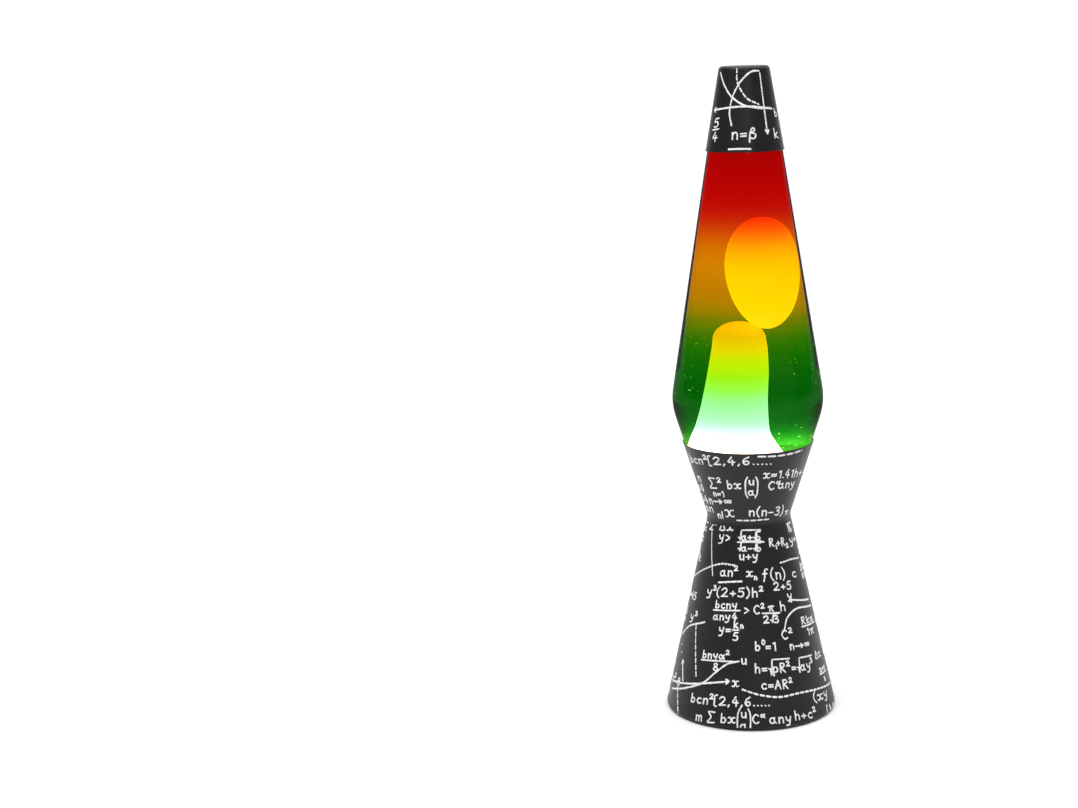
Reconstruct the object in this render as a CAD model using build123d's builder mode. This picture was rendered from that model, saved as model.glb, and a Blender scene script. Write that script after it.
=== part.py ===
from build123d import *
import os
from math import sqrt

os.makedirs("parts", exist_ok=True)

# A wax ("lava") lamp: a spun metal hourglass base holds a reflector bulb,
# a tapered bottle of clear liquid and wax stands in the base's upper cone, and a spun
# cap slips over the bottle's crown closure.
# Frame: millimetres, +Z up, origin at the middle of the circle that the feet stand on.

# ---------------------------------------------------------------- driving dimensions
overall_height = 400.0
base_radius = 53.0
waist_radius, waist_z, waist_round = 25.6, 124.2, 8.0
rim_z = 171.0
upper_taper = 0.317  # radius gained per mm of height above the waist
shell_wall = 0.6
seat_gap = 0.3  # between the upper cone and the bottle, square to the wall

hem_z, hem_round, hem_width, hem_height = 1.0, 1.55, 3.6, 1.8
foot_corner_radius = base_radius + 0.4  # where the flank, drawn on, meets the hem

shoulder_radius, shoulder_z, shoulder_round = 47.27, 195.55, 39.0
glass_wall = 2.4
bottle_floor_z = 131.0
body_taper = 0.1597  # radius lost per mm of height above the shoulder
neck_start_z, neck_radius, neck_root_z, mouth_z = 361.0, 12.2, 371.0, 389.0
fill_z = 364.0

cap_z, cap_wall, cap_lip_radius, cap_top_radius = 350.0, 0.5, 23.75, 15.0
crown_top_z, crown_radius, crown_skirt_radius = 390.0, 13.9, 15.9

plate_z, plate_thickness, plate_radius = 2.2, 1.0, 48.9
bridge_z, bracket_thickness, bracket_width = 28.8, 1.2, 14.0
holder_z, holder_radius = bridge_z + bracket_thickness, 14.0
joint_z, skirt_top_z = 50.0, 84.0
tip_z = 58.1  # the bulb's centre contact
bulb_top_z, bulb_radius = 124.0, 19.5
inlet_z, inlet_bore = 17.0, 3.2
wire_radius = 1.1


def slant(taper):
    """Length along a cone's side for each mm of height."""
    return sqrt(1 + taper * taper)


flank_taper = (foot_corner_radius - waist_radius) / (waist_z - hem_z)
plate_top = plate_z + plate_thickness


def flank_radius(z):
    """Outer radius of the base below the waist."""
    return foot_corner_radius - flank_taper * (z - hem_z)


def cone_radius(z):
    """Outer radius of the base above the waist."""
    return waist_radius + upper_taper * (z - waist_z)


def bottle_radius(z):
    """Outer radius of the bottle between its floor and its shoulder."""
    return shoulder_radius - upper_taper * (shoulder_z - z)


def finish(part, name):
    """Names a finished piece and writes it as its own file."""
    part.label = name
    export_step(part, f"parts/{name}.step")


# ---------------------------------------------------------------- base: shell and underside
# The spun shell: upper cone, waist, flank, and a hem curled in at the foot.
with BuildPart() as base_shell:
    with BuildSketch(Plane.XZ):
        with BuildLine():
            FilletPolyline(
                (cone_radius(rim_z), rim_z),
                (waist_radius, waist_z),
                (foot_corner_radius, hem_z),
                (foot_corner_radius - hem_width, hem_z),
                (foot_corner_radius - hem_width, hem_z + hem_height),
                radius=[waist_round, hem_round, hem_round * 0.9],
            )
            offset(amount=shell_wall, side=Side.RIGHT)
        make_face()
    revolve(axis=Axis.Z)
    fillet(base_shell.edges().filter_by(GeomType.CIRCLE).group_by(Axis.Z)[-1], 0.2)
    # the cord's hole at the back, square to the flank
    inlet_plane = Plane(
        origin=(0, flank_radius(inlet_z), inlet_z),
        x_dir=(1, 0, 0),
        z_dir=(0, 1, flank_taper),
    )
    with BuildSketch(inlet_plane):
        Circle(inlet_bore + 1.5)
    extrude(amount=4, both=True, mode=Mode.SUBTRACT)
finish(base_shell.part, "base_shell")

# Rubber grommet that lines the cord's hole. The inner flange stands off by the wall's curve.
grommet_flange, flange_thickness, wall_curve = inlet_bore + 3.3, 1.6, 0.45
with BuildPart() as cord_grommet:
    with BuildSketch(inlet_plane.offset(0.05)):
        Circle(grommet_flange)
    extrude(amount=flange_thickness)
    fillet(cord_grommet.edges().filter_by(GeomType.CIRCLE).group_by(Axis.Y)[-1], 0.7)
    with BuildSketch(inlet_plane.offset(0.05)):
        Circle(inlet_bore + 1.45)
    extrude(amount=-(shell_wall + wall_curve + 0.1))
    with BuildSketch(inlet_plane.offset(-(shell_wall + wall_curve + 0.05))):
        Circle(grommet_flange - 0.4)
    extrude(amount=-flange_thickness)
    with BuildSketch(inlet_plane):
        Circle(inlet_bore)
    extrude(amount=6, both=True, mode=Mode.SUBTRACT)
finish(cord_grommet.part, "cord_grommet")

# Silicone ring in the throat of the upper cone, on which the bottle stands.
ring_z = 126.8
with BuildPart() as seat_ring:
    with BuildSketch(Plane.XZ):
        inner_wall = shell_wall * slant(upper_taper) + 0.05
        with BuildLine():
            Polyline(
                (bulb_radius + 1.3, ring_z),
                (cone_radius(ring_z) - inner_wall, ring_z),
                (cone_radius(bottle_floor_z) - inner_wall, bottle_floor_z),
                (bulb_radius + 1.3, bottle_floor_z),
                close=True,
            )
        make_face()
    revolve(axis=Axis.Z)
finish(seat_ring.part, "seat_ring")

# Pressed steel bottom plate: a ring of air slots, and half a ring in front of the wiring.
lug_screw_radius, foot_circle = 43.0, 40.0
rivet_x, earth_spot, block_y = 22.5, (-20.0, 22.0), 30.0
with BuildPart() as bottom_plate:
    with BuildSketch(Plane.XY.offset(plate_z)):
        Circle(plate_radius)
        with PolarLocations(lug_screw_radius, 4, start_angle=45):
            Circle(1.7, mode=Mode.SUBTRACT)
        with PolarLocations(11.0, 8, start_angle=22.5):
            SlotOverall(9.0, 2.6, mode=Mode.SUBTRACT)
        with PolarLocations(29.0, 10, start_angle=198, angular_range=160):
            SlotOverall(8.0, 2.6, mode=Mode.SUBTRACT)
        with Locations((rivet_x, 0), (-rivet_x, 0), earth_spot, (0, block_y)):
            Circle(1.55, mode=Mode.SUBTRACT)
    extrude(amount=plate_thickness)
    fillet(bottom_plate.edges().filter_by(GeomType.CIRCLE).sort_by(SortBy.RADIUS)[-2:], 0.3)
finish(bottom_plate.part, "bottom_plate")

# Lugs welded to the flank's inside, tapped for the plate's screws.
lug_width, lug_thickness, lug_top = 10.0, 1.2, 15.0
lug_stand_off = shell_wall * slant(flank_taper) + 0.3
with BuildPart() as plate_lug:
    with BuildSketch(Plane.XZ):
        with BuildLine():
            Polyline(
                (38.0, plate_top + lug_thickness / 2),
                (flank_radius(plate_top) - lug_stand_off - 0.9, plate_top + lug_thickness / 2),
                (flank_radius(lug_top) - lug_stand_off - lug_thickness / 2, lug_top),
            )
            offset(amount=lug_thickness / 2, kind=Kind.INTERSECTION)
        make_face()
    extrude(amount=lug_width / 2, both=True)
    with BuildSketch(Plane.XY.offset(plate_top)):
        with Locations((lug_screw_radius, 0)):
            Circle(1.5)
    extrude(amount=3, mode=Mode.SUBTRACT)
with BuildPart() as plate_lugs:
    with PolarLocations(0, 4, start_angle=45):
        add(plate_lug.part)
finish(plate_lugs.part, "plate_lugs")


def pan_screw(head_radius, head_height, shank_radius, length, slot=0.8):
    """A slotted pan-head screw: the head stands on z = 0 and the shank goes down."""
    with BuildPart() as screw:
        with BuildSketch(Plane.XY):
            Circle(head_radius)
        extrude(amount=head_height)
        fillet(screw.edges().group_by(Axis.Z)[-1], head_height * 0.45)
        with BuildSketch(Plane.XY):
            Circle(shank_radius)
        extrude(amount=-length)
        chamfer(screw.edges().group_by(Axis.Z)[0], shank_radius * 0.25)
        with BuildSketch(Plane.XY.offset(head_height)):
            Rectangle(2 * head_radius, slot)
        extrude(amount=-head_height * 0.45, mode=Mode.SUBTRACT)
    return screw.part


# Plate screws, heads under the plate.
plate_screw = pan_screw(2.8, 1.4, 1.45, 4.5)
with BuildPart() as plate_screws:
    with PolarLocations(lug_screw_radius, 4, start_angle=45):
        with Locations(Location((0, 0, plate_z), (180, 0, 0))):
            add(plate_screw)
finish(plate_screws.part, "plate_screws")

# Rubber feet stuck under the plate.
with BuildPart() as rubber_feet:
    with BuildSketch():
        with PolarLocations(foot_circle, 4):
            Circle(5.0)
    extrude(amount=plate_z)
    fillet(rubber_feet.edges().filter_by(GeomType.CIRCLE).group_by(Axis.Z)[0], 0.6)
finish(rubber_feet.part, "rubber_feet")

# ---------------------------------------------------------------- base: bulb holder
# Steel strap bent into a bridge that carries the bulb holder.
strap_leg_x, strap_foot_x = 16.0, 27.0
strap_low = plate_top + bracket_thickness / 2
strap_high = bridge_z + bracket_thickness / 2
with BuildPart() as holder_bracket:
    with BuildSketch(Plane.XZ):
        with BuildLine():
            FilletPolyline(
                (-strap_foot_x, strap_low),
                (-strap_leg_x, strap_low),
                (-strap_leg_x, strap_high),
                (strap_leg_x, strap_high),
                (strap_leg_x, strap_low),
                (strap_foot_x, strap_low),
                radius=1.6,
            )
            offset(amount=bracket_thickness / 2, kind=Kind.INTERSECTION)
        make_face()
    extrude(amount=bracket_width / 2, both=True)
    with BuildSketch(Plane.XY.offset(bridge_z - 1)):
        Circle(5.1)
    extrude(amount=4, mode=Mode.SUBTRACT)
    with BuildSketch(Plane.XY.offset(plate_z)):
        with Locations((rivet_x, 0), (-rivet_x, 0)):
            Circle(1.55)
    extrude(amount=4, mode=Mode.SUBTRACT)
finish(holder_bracket.part, "holder_bracket")

# Rivets through the bridge's feet and the plate.
rivet_grip = plate_thickness + bracket_thickness
with BuildPart() as bracket_rivets:
    with Locations((rivet_x, 0, plate_z), (-rivet_x, 0, plate_z)):
        Cylinder(1.5, rivet_grip, align=(Align.CENTER, Align.CENTER, Align.MIN))
        Cylinder(2.7, 0.7, align=(Align.CENTER, Align.CENTER, Align.MAX))
    with Locations((rivet_x, 0, plate_z + rivet_grip), (-rivet_x, 0, plate_z + rivet_grip)):
        Cone(2.7, 1.8, 1.0, align=(Align.CENTER, Align.CENTER, Align.MIN))
finish(bracket_rivets.part, "bracket_rivets")

# Threaded hollow nipple that holds the bulb holder on the bridge and lets the wires up.
nipple_low, nipple_high = 23.2, 37.0
with BuildPart() as hollow_nipple:
    with BuildSketch(Plane.XY.offset(nipple_low)):
        Circle(5.0)
        Circle(3.6, mode=Mode.SUBTRACT)
    extrude(amount=nipple_high - nipple_low)
    chamfer(hollow_nipple.edges().filter_by(GeomType.CIRCLE).sort_by(SortBy.RADIUS)[-2:], 0.4)
finish(hollow_nipple.part, "hollow_nipple")

# Hexagon nut and toothed washer under the bridge.
nut_height, washer_thickness = 3.0, 0.8
with BuildPart() as nipple_nut:
    with BuildSketch(Plane.XY.offset(bridge_z - washer_thickness - nut_height)):
        RegularPolygon(7.0, 6, major_radius=False)
        Circle(5.02, mode=Mode.SUBTRACT)
    extrude(amount=nut_height)
finish(nipple_nut.part, "nipple_nut")
with BuildPart() as tooth_washer:
    with BuildSketch(Plane.XY.offset(bridge_z - washer_thickness)):
        Circle(8.0)
        Circle(5.1, mode=Mode.SUBTRACT)
        with PolarLocations(8.0, 12):
            Circle(0.6, mode=Mode.SUBTRACT)
    extrude(amount=washer_thickness)
finish(tooth_washer.part, "tooth_washer")

# Moulded dome: the lower half of the bulb holder.
with BuildPart() as holder_dome:
    with BuildSketch(Plane.XZ):
        with BuildLine():
            Polyline(
                (5.05, holder_z),
                (9.0, holder_z),
                (holder_radius, holder_z + 9.5),
                (holder_radius, joint_z),
                (holder_radius - 2, joint_z),
                (holder_radius - 2, holder_z + 11),
                (8.0, nipple_high + 0.5),
                (5.05, nipple_high + 0.5),
                close=True,
            )
        make_face()
    revolve(axis=Axis.Z)
    with BuildSketch(Plane.XY.offset(joint_z)):
        with PolarLocations(holder_radius, 24):
            Circle(0.45)
    extrude(amount=-9, mode=Mode.SUBTRACT)
finish(holder_dome.part, "holder_dome")

# Moulded skirt: the upper half, round the bulb's cap.
with BuildPart() as holder_skirt:
    with BuildSketch(Plane.XZ):
        with BuildLine():
            Polyline(
                (holder_radius - 2.3, joint_z),
                (holder_radius, joint_z),
                (holder_radius, joint_z + 4),
                (holder_radius - 0.8, joint_z + 5.5),
                (holder_radius - 1.2, skirt_top_z),
                (holder_radius - 2.6, skirt_top_z),
                (holder_radius - 2.6, joint_z + 7.5),
                close=True,
            )
        make_face()
    revolve(axis=Axis.Z)
    fillet(holder_skirt.edges().filter_by(GeomType.CIRCLE).group_by(Axis.Z)[-1], 0.5)
finish(holder_skirt.part, "holder_skirt")

# Insulating block that carries the contacts, with a terminal each side.
block_low, block_high, terminal_z = 46.0, 56.0, 50.5
with BuildPart() as contact_block:
    with BuildSketch(Plane.XY.offset(block_low)):
        Circle(11.2)
    extrude(amount=block_high - block_low)
    with BuildSketch(Plane.XY.offset(block_low)):
        with Locations((1.5, 0), (-1.5, 0)):
            Circle(wire_radius + 0.02)
    extrude(amount=2, mode=Mode.SUBTRACT)
    with BuildSketch(Plane.YZ):
        with Locations((0, terminal_z)):
            Circle(1.5)
    extrude(amount=12, both=True, mode=Mode.SUBTRACT)
    with BuildSketch(Plane.YZ):
        with Locations((0, terminal_z)):
            Circle(1.5)
    extrude(amount=5, both=True)
finish(contact_block.part, "contact_block")

# Terminal screws, headless, one each side of the block.
with BuildPart() as terminal_screws:
    with BuildSketch(Plane.YZ.offset(5.2)):
        with Locations((0, terminal_z)):
            Circle(1.45)
    extrude(amount=5.4)
    with BuildSketch(Plane.YZ.offset(10.6)):
        with Locations((0, terminal_z)):
            Rectangle(0.6, 3)
    extrude(amount=-0.8, mode=Mode.SUBTRACT)
    mirror(about=Plane.YZ)
finish(terminal_screws.part, "terminal_screws")

# E14 thread: a rope-like wave of this pitch on the bulb's cap and in the holder's shell.
thread_pitch, thread_depth, thread_turns = 2.82, 0.45, 5
thread_low = 61.6


def thread_wave(crest):
    """A wavy line of half-round crests and roots, rising from thread_low."""
    half = thread_pitch / 2
    for turn in range(thread_turns):
        z = thread_low + turn * thread_pitch
        root = crest - thread_depth
        middle = crest - thread_depth / 2
        ThreePointArc((middle, z), (crest, z + half / 2), (middle, z + half))
        ThreePointArc((middle, z + half), (root, z + 1.5 * half), (middle, z + 2 * half))


thread_high = thread_low + thread_turns * thread_pitch

# Brass shell that the bulb screws into.
shell_crest = 7.65
with BuildPart() as thread_shell:
    with BuildSketch(Plane.XZ):
        with BuildLine():
            thread_wave(shell_crest)
            Polyline(
                (shell_crest - thread_depth / 2, thread_high),
                (shell_crest + 0.2, thread_high + 2),
                (shell_crest + 0.6, thread_high + 2),
                (shell_crest + 0.6, block_high),
                (shell_crest - thread_depth / 2, block_high),
                (shell_crest - thread_depth / 2, thread_low),
            )
        make_face()
    revolve(axis=Axis.Z)
finish(thread_shell.part, "thread_shell")

# Springy centre contact strip.
with BuildPart() as centre_contact:
    with BuildSketch(Plane.XZ):
        with BuildLine():
            FilletPolyline(
                (-5.6, block_high + 0.25),
                (-3.2, block_high + 0.25),
                (-1.4, tip_z - 0.4),
                (2.2, tip_z - 0.4),
                (3.4, tip_z - 1.0),
                radius=0.7,
            )
            offset(amount=0.25, kind=Kind.INTERSECTION)
        make_face()
    extrude(amount=2.2, both=True)
finish(centre_contact.part, "centre_contact")

# ---------------------------------------------------------------- base: wiring
# Three-pole terminal block on the plate, by the cord's inlet.
pole_pitch, block_depth, block_height, pole_z = 8.0, 11.0, 11.0, plate_top + 5.0
pole_x = [-pole_pitch, 0, pole_pitch]
block_front = block_y - block_depth / 2
with BuildPart() as terminal_block:
    with BuildSketch(Plane.XY.offset(plate_top)):
        with Locations((0, block_y)):
            RectangleRounded(3 * pole_pitch + 4, block_depth, 1.2)
    extrude(amount=block_height - 3)
    with BuildSketch(Plane.XY.offset(plate_top)):
        with Locations(*[(x, block_y) for x in pole_x]):
            RectangleRounded(pole_pitch - 1.6, block_depth - 1, 1.2)
    extrude(amount=block_height)
    with BuildSketch(Plane.XZ.offset(-block_front + 1)):
        with Locations(*[(x, pole_z) for x in pole_x]):
            Circle(2.1)
    extrude(amount=-block_depth - 2, mode=Mode.SUBTRACT)
    with BuildSketch(Plane.XY.offset(plate_top + block_height)):
        with Locations(*[(x, y) for x in pole_x for y in (block_y - 2.6, block_y + 2.6)]):
            Circle(1.45)
    extrude(amount=pole_z - plate_top - block_height, mode=Mode.SUBTRACT)
finish(terminal_block.part, "terminal_block")

# Brass tubes in the poles, open on top for the clamping screws.
with BuildPart() as pole_tubes:
    with BuildSketch(Plane.XZ.offset(-block_front - 0.5)):
        with Locations(*[(x, pole_z) for x in pole_x]):
            Circle(2.1)
            Circle(1.2, mode=Mode.SUBTRACT)
    extrude(amount=-block_depth + 1)
    with BuildSketch(Plane.XY.offset(pole_z)):
        with Locations(*[(x, y) for x in pole_x for y in (block_y - 2.6, block_y + 2.6)]):
            Circle(1.2)
    extrude(amount=3, mode=Mode.SUBTRACT)
finish(pole_tubes.part, "pole_tubes")

# The poles' clamping screws.
clamp_screw = pan_screw(1.4, 1.0, 1.15, 4.6, slot=0.5)
clamp_head_z = plate_top + block_height - 1.4
with BuildPart() as clamp_screws:
    with Locations(
        *[(x, y, clamp_head_z) for x in pole_x for y in (block_y - 2.6, block_y + 2.6)]
    ):
        add(clamp_screw)
finish(clamp_screws.part, "clamp_screws")


def lead(points, radii):
    """A round insulated wire along straight runs joined by arcs."""
    with BuildPart() as wire:
        with BuildLine() as route:
            FilletPolyline(*points, radius=radii)
        with BuildSketch(Plane(origin=route.line @ 0, z_dir=route.line % 0)):
            Circle(wire_radius)
        sweep(path=route.line)
    return wire.part


# Wires from the holder's block, down the nipple and back to the terminal block.
wire_end_y = block_front + 0.4
for side, name in ((1, "live_lead"), (-1, "neutral_lead")):
    wire = lead(
        [
            (side * 1.5, 0, block_low + 2),
            (side * 1.5, 0, 14.5),
            (side * 7.0, 12.0, 9.3),
            (side * pole_pitch, 18.0, pole_z),
            (side * pole_pitch, wire_end_y, pole_z),
        ],
        [7.0, 9.0, 9.0],
    )
    finish(wire, name)

# Earth wire, from a tag on the plate to the middle pole.
tag_z, tag_thickness = plate_top, 0.8
earth_wire_z = tag_z + tag_thickness + wire_radius
earth_wire = lead(
    [
        (earth_spot[0], earth_spot[1] - 5.2, earth_wire_z),
        (earth_spot[0] + 1.0, 13.0, earth_wire_z),
        (-5.0, 9.5, 6.6),
        (0, 15.5, pole_z),
        (0, wire_end_y, pole_z),
    ],
    [4.5, 4.5, 4.5],
)
finish(earth_wire, "earth_lead")

with BuildPart() as earth_tag:
    with BuildSketch(Plane.XY.offset(tag_z)):
        with Locations(earth_spot):
            Circle(3.4)
        with Locations((earth_spot[0], earth_spot[1] - 6)):
            Rectangle(2.6, 8)
        with Locations(earth_spot):
            Circle(1.6, mode=Mode.SUBTRACT)
    extrude(amount=tag_thickness)
finish(earth_tag.part, "earth_tag")

earth_bolt = pan_screw(2.8, 1.4, 1.45, 3.0)
with BuildPart() as earth_screw:
    with Locations((*earth_spot, tag_z + tag_thickness)):
        add(earth_bolt)
finish(earth_screw.part, "earth_screw")

# ---------------------------------------------------------------- bulb, R39 with an E14 cap
bulb_crest, neck_low, neck_outer = 6.85, 79.2, 7.5
with BuildPart() as bulb_cap:
    with BuildSketch(Plane.XZ):
        with BuildLine():
            thread_wave(bulb_crest)
            Polyline(
                (bulb_crest - thread_depth / 2, thread_high),
                (6.7, thread_high + 0.8),
                (8.1, 79.0),
                (8.1, 81.5),
                (7.7, 81.5),
                (7.7, 79.1),
                (6.1, 76.6),
                (6.1, 61.2),
                (5.7, 60.8),
                (5.9, 60.4),
                (6.3, 60.6),
                (bulb_crest - thread_depth / 2, thread_low),
            )
        make_face()
    revolve(axis=Axis.Z)
finish(bulb_cap.part, "bulb_cap")

with BuildPart() as cap_insulator:
    with BuildSketch(Plane.XZ):
        with BuildLine():
            Polyline(
                (2.1, 59.5), (2.9, 59.2), (5.8, 60.3), (5.6, 60.8),
                (6.0, 61.3), (6.0, 62.6), (2.1, 62.6),
                close=True,
            )
        make_face()
    revolve(axis=Axis.Z)
finish(cap_insulator.part, "cap_insulator")

with BuildPart() as tip_contact:
    with BuildSketch(Plane.XZ):
        with BuildLine():
            Polyline(
                (0, tip_z), (1.5, tip_z), (2.3, tip_z + 0.5), (2.6, tip_z + 1.0),
                (2.05, tip_z + 1.3), (2.05, 62.6), (0, 62.6),
                close=True,
            )
        make_face()
    revolve(axis=Axis.Z)
finish(tip_contact.part, "tip_contact")

bulb_wall, neck_high = 0.7, 87.0


def bulb_outline(inset):
    """The bulb's neck and reflector bowl, drawn in by a wall's thickness."""
    neck = neck_outer - inset
    Line((neck, neck_low), (neck, neck_high))
    Spline(
        (neck, neck_high),
        (12.0 - 0.8 * inset, 94.5 + 0.5 * inset),
        (bulb_radius - inset, 108.5),
        (13.8 - 0.6 * inset, 120.2 - 0.8 * inset),
        (0, bulb_top_z - inset),
        tangents=[(0, 1), (-1, 0)],
    )
    Line((0, bulb_top_z - inset), (0, neck_low))
    Line((0, neck_low), (neck, neck_low))


with BuildPart() as bulb_glass:
    with BuildSketch(Plane.XZ):
        with BuildLine():
            bulb_outline(0)
        make_face()
    revolve(axis=Axis.Z)
    with BuildSketch(Plane.XZ):
        with BuildLine():
            bulb_outline(bulb_wall)
        make_face()
    revolve(axis=Axis.Z, mode=Mode.SUBTRACT)
finish(bulb_glass.part, "bulb_glass")

# The stem that the filament's wires come out of, pressed flat at its top.
stem_low, stem_high = 80.0, 93.0
with BuildPart() as glass_stem:
    with BuildSketch(Plane.XY.offset(stem_low)):
        Circle(4.2)
    with BuildSketch(Plane.XY.offset(stem_high)):
        RectangleRounded(6.0, 2.4, 1.0)
    loft()
finish(glass_stem.part, "glass_stem")

filament_z, filament_x, support_radius = 106.0, 7.0, 0.35
with BuildPart() as lead_in_wires:
    with BuildLine() as support_route:
        FilletPolyline(
            (1.8, 0, stem_high), (2.2, 0, 96.0), (filament_x, 0, filament_z - 1), radius=2.0
        )
    with BuildSketch(Plane(origin=support_route.line @ 0, z_dir=support_route.line % 0)):
        Circle(support_radius)
    sweep(path=support_route.line)
    mirror(about=Plane.YZ)
finish(lead_in_wires.part, "lead_in_wires")

with BuildPart() as filament:
    with BuildLine() as filament_route:
        ThreePointArc(
            (-filament_x, 0, filament_z), (0, 0, filament_z + 3), (filament_x, 0, filament_z)
        )
    with BuildSketch(Plane(origin=filament_route.line @ 0, z_dir=filament_route.line % 0)):
        Circle(0.45)
    sweep(path=filament_route.line)
finish(filament.part, "filament")

# ---------------------------------------------------------------- globe: bottle and contents
bottle_outline = [
    (0, bottle_floor_z),
    (bottle_radius(bottle_floor_z), bottle_floor_z),
    (shoulder_radius, shoulder_z),
    (shoulder_radius - body_taper * (neck_start_z - shoulder_z), neck_start_z),
    (neck_radius, neck_root_z),
    (neck_radius, mouth_z),
]
bottle_rounds = [4.0, shoulder_round, 7.0, 5.0]

# Glass bottle: an even wall, with the ring that the crown grips round its mouth.
with BuildPart() as globe_glass:
    with BuildSketch(Plane.XZ):
        with BuildLine():
            FilletPolyline(*bottle_outline, radius=bottle_rounds)
            offset(amount=glass_wall, side=Side.LEFT)
        make_face()
    revolve(axis=Axis.Z)
    with BuildSketch(Plane.XZ):
        with Locations((neck_radius - 0.5, 386.2)):
            RectangleRounded(2.6, 5.6, 0.8)
    revolve(axis=Axis.Z)
finish(globe_glass.part, "globe_glass")

# The space inside the bottle up to the liquid's level.
with BuildPart() as liquid_space:
    with BuildSketch(Plane.XZ):
        with BuildLine():
            FilletPolyline(*bottle_outline, radius=bottle_rounds)
            offset(amount=glass_wall, side=Side.LEFT, closed=False)
            Line((neck_radius - glass_wall, mouth_z), (0, mouth_z))
            Line((0, mouth_z), (0, bottle_floor_z + glass_wall))
        make_face()
    revolve(axis=Axis.Z)
    split(bisect_by=Plane.XY.offset(fill_z), keep=Keep.BOTTOM)

# Close-wound wire coil near the bottle's floor, as its outer tube.
coil_circle, coil_tube, coil_stand_off = 17.0, 2.6, 0.5
with BuildPart() as heat_coil:
    with Locations((0, 0, bottle_floor_z + glass_wall + coil_stand_off + coil_tube)):
        Torus(coil_circle, coil_tube)
finish(heat_coil.part, "heat_coil")

# Wax that still lies on the floor, drawn up into a leaning column: (height, x, y, radius).
wax_sections = [
    (bottle_floor_z + glass_wall, 0.0, 0.0, 22.6),
    (146.0, -1.6, 0.0, 25.8),
    (156.0, -4.4, 0.2, 25.2),
    (167.0, -5.9, 0.8, 21.8),
    (175.0, -6.8, 1.4, 19.0),
    (183.0, -7.0, 2.2, 16.5),
    (193.0, -5.8, 3.4, 14.6),
    (204.0, -4.7, 4.4, 13.7),
    (213.0, -3.9, 5.2, 13.1),
    (226.0, -3.2, 6.0, 12.0),
    (233.2, -3.2, 6.0, 11.3),
]
with BuildPart() as wax_mound:
    for z, x, y, radius in wax_sections:
        with BuildSketch(Plane.XY.offset(z)):
            with Locations((x, y)):
                Circle(radius)
    loft(ruled=True)
    top_z, top_x, top_y, top_radius = wax_sections[-1]
    with Locations((top_x, top_y, top_z)):
        Sphere(top_radius)
    add(heat_coil.part, mode=Mode.SUBTRACT)
finish(wax_mound.part, "wax_mound")

# The free blob of wax: an egg, narrow end down, leaning a little.
blob_low, blob_height, blob_radius, blob_widest = 241.5, 68.0, 18.3, 36.5
blob_foot = Location((10.1, -5.0, blob_low), (0, -2.7, 0))
with BuildPart() as blob_form:
    with BuildSketch(Plane.XZ):
        with BuildLine():
            Spline(
                (0, 0),
                (14.1, 14.0),
                (blob_radius, blob_widest),
                (12.1, 60.5),
                (0, blob_height),
                tangents=[(1, 0), (-1, 0)],
            )
            Line((0, blob_height), (0, 0))
        make_face()
    revolve(axis=Axis.Z)
with BuildPart() as wax_blob:
    with Locations(blob_foot):
        add(blob_form.part)
finish(wax_blob.part, "wax_blob")

# The liquid fills what the wax and the coil leave.
with BuildPart() as clear_liquid:
    add(liquid_space.part)
    add(wax_mound.part, mode=Mode.SUBTRACT)
    add(wax_blob.part, mode=Mode.SUBTRACT)
    add(heat_coil.part, mode=Mode.SUBTRACT)
finish(clear_liquid.part, "clear_liquid")

# Crown closure: a pressed disc whose fluted skirt grips the bottle's ring.
crown_wall, crown_flutes, crown_skirt_z = 0.3, 21, 384.0
with BuildPart() as crown_closure:
    with BuildSketch(Plane.XZ):
        with BuildLine():
            FilletPolyline(
                (0, crown_top_z),
                (crown_radius, crown_top_z),
                (crown_radius + 0.5, crown_top_z - 3.5),
                (crown_skirt_radius, crown_skirt_z),
                radius=[1.2, 1.5],
            )
            offset(amount=crown_wall, side=Side.RIGHT)
        make_face()
    revolve(axis=Axis.Z)
    with BuildSketch(Plane.XY.offset(crown_skirt_z)):
        with PolarLocations(crown_skirt_radius + 0.55, crown_flutes):
            Circle(0.9)
    extrude(amount=3.0, taper=12, mode=Mode.SUBTRACT)
finish(crown_closure.part, "crown_closure")

with BuildPart() as crown_liner:
    with BuildSketch(Plane.XY.offset(mouth_z)):
        Circle(neck_radius)
    extrude(amount=crown_top_z - crown_wall - mouth_z)
finish(crown_liner.part, "crown_liner")

# ---------------------------------------------------------------- cap
with BuildPart() as top_cap:
    with BuildSketch(Plane.XZ):
        with BuildLine():
            FilletPolyline(
                (cap_lip_radius, cap_z),
                (cap_lip_radius - 0.45, cap_z + 1.8),
                (cap_top_radius, overall_height),
                (0, overall_height),
                radius=[2.5, 2.4],
            )
            offset(amount=cap_wall, side=Side.LEFT)
        make_face()
    revolve(axis=Axis.Z)
finish(top_cap.part, "top_cap")

# Foam pad inside the cap, which rests on the crown.
pad_top = overall_height - cap_wall
with BuildPart() as cap_pad:
    with BuildSketch(Plane.XY.offset(crown_top_z)):
        Circle(11.5)
    extrude(amount=pad_top - crown_top_z)
finish(cap_pad.part, "cap_pad")
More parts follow.
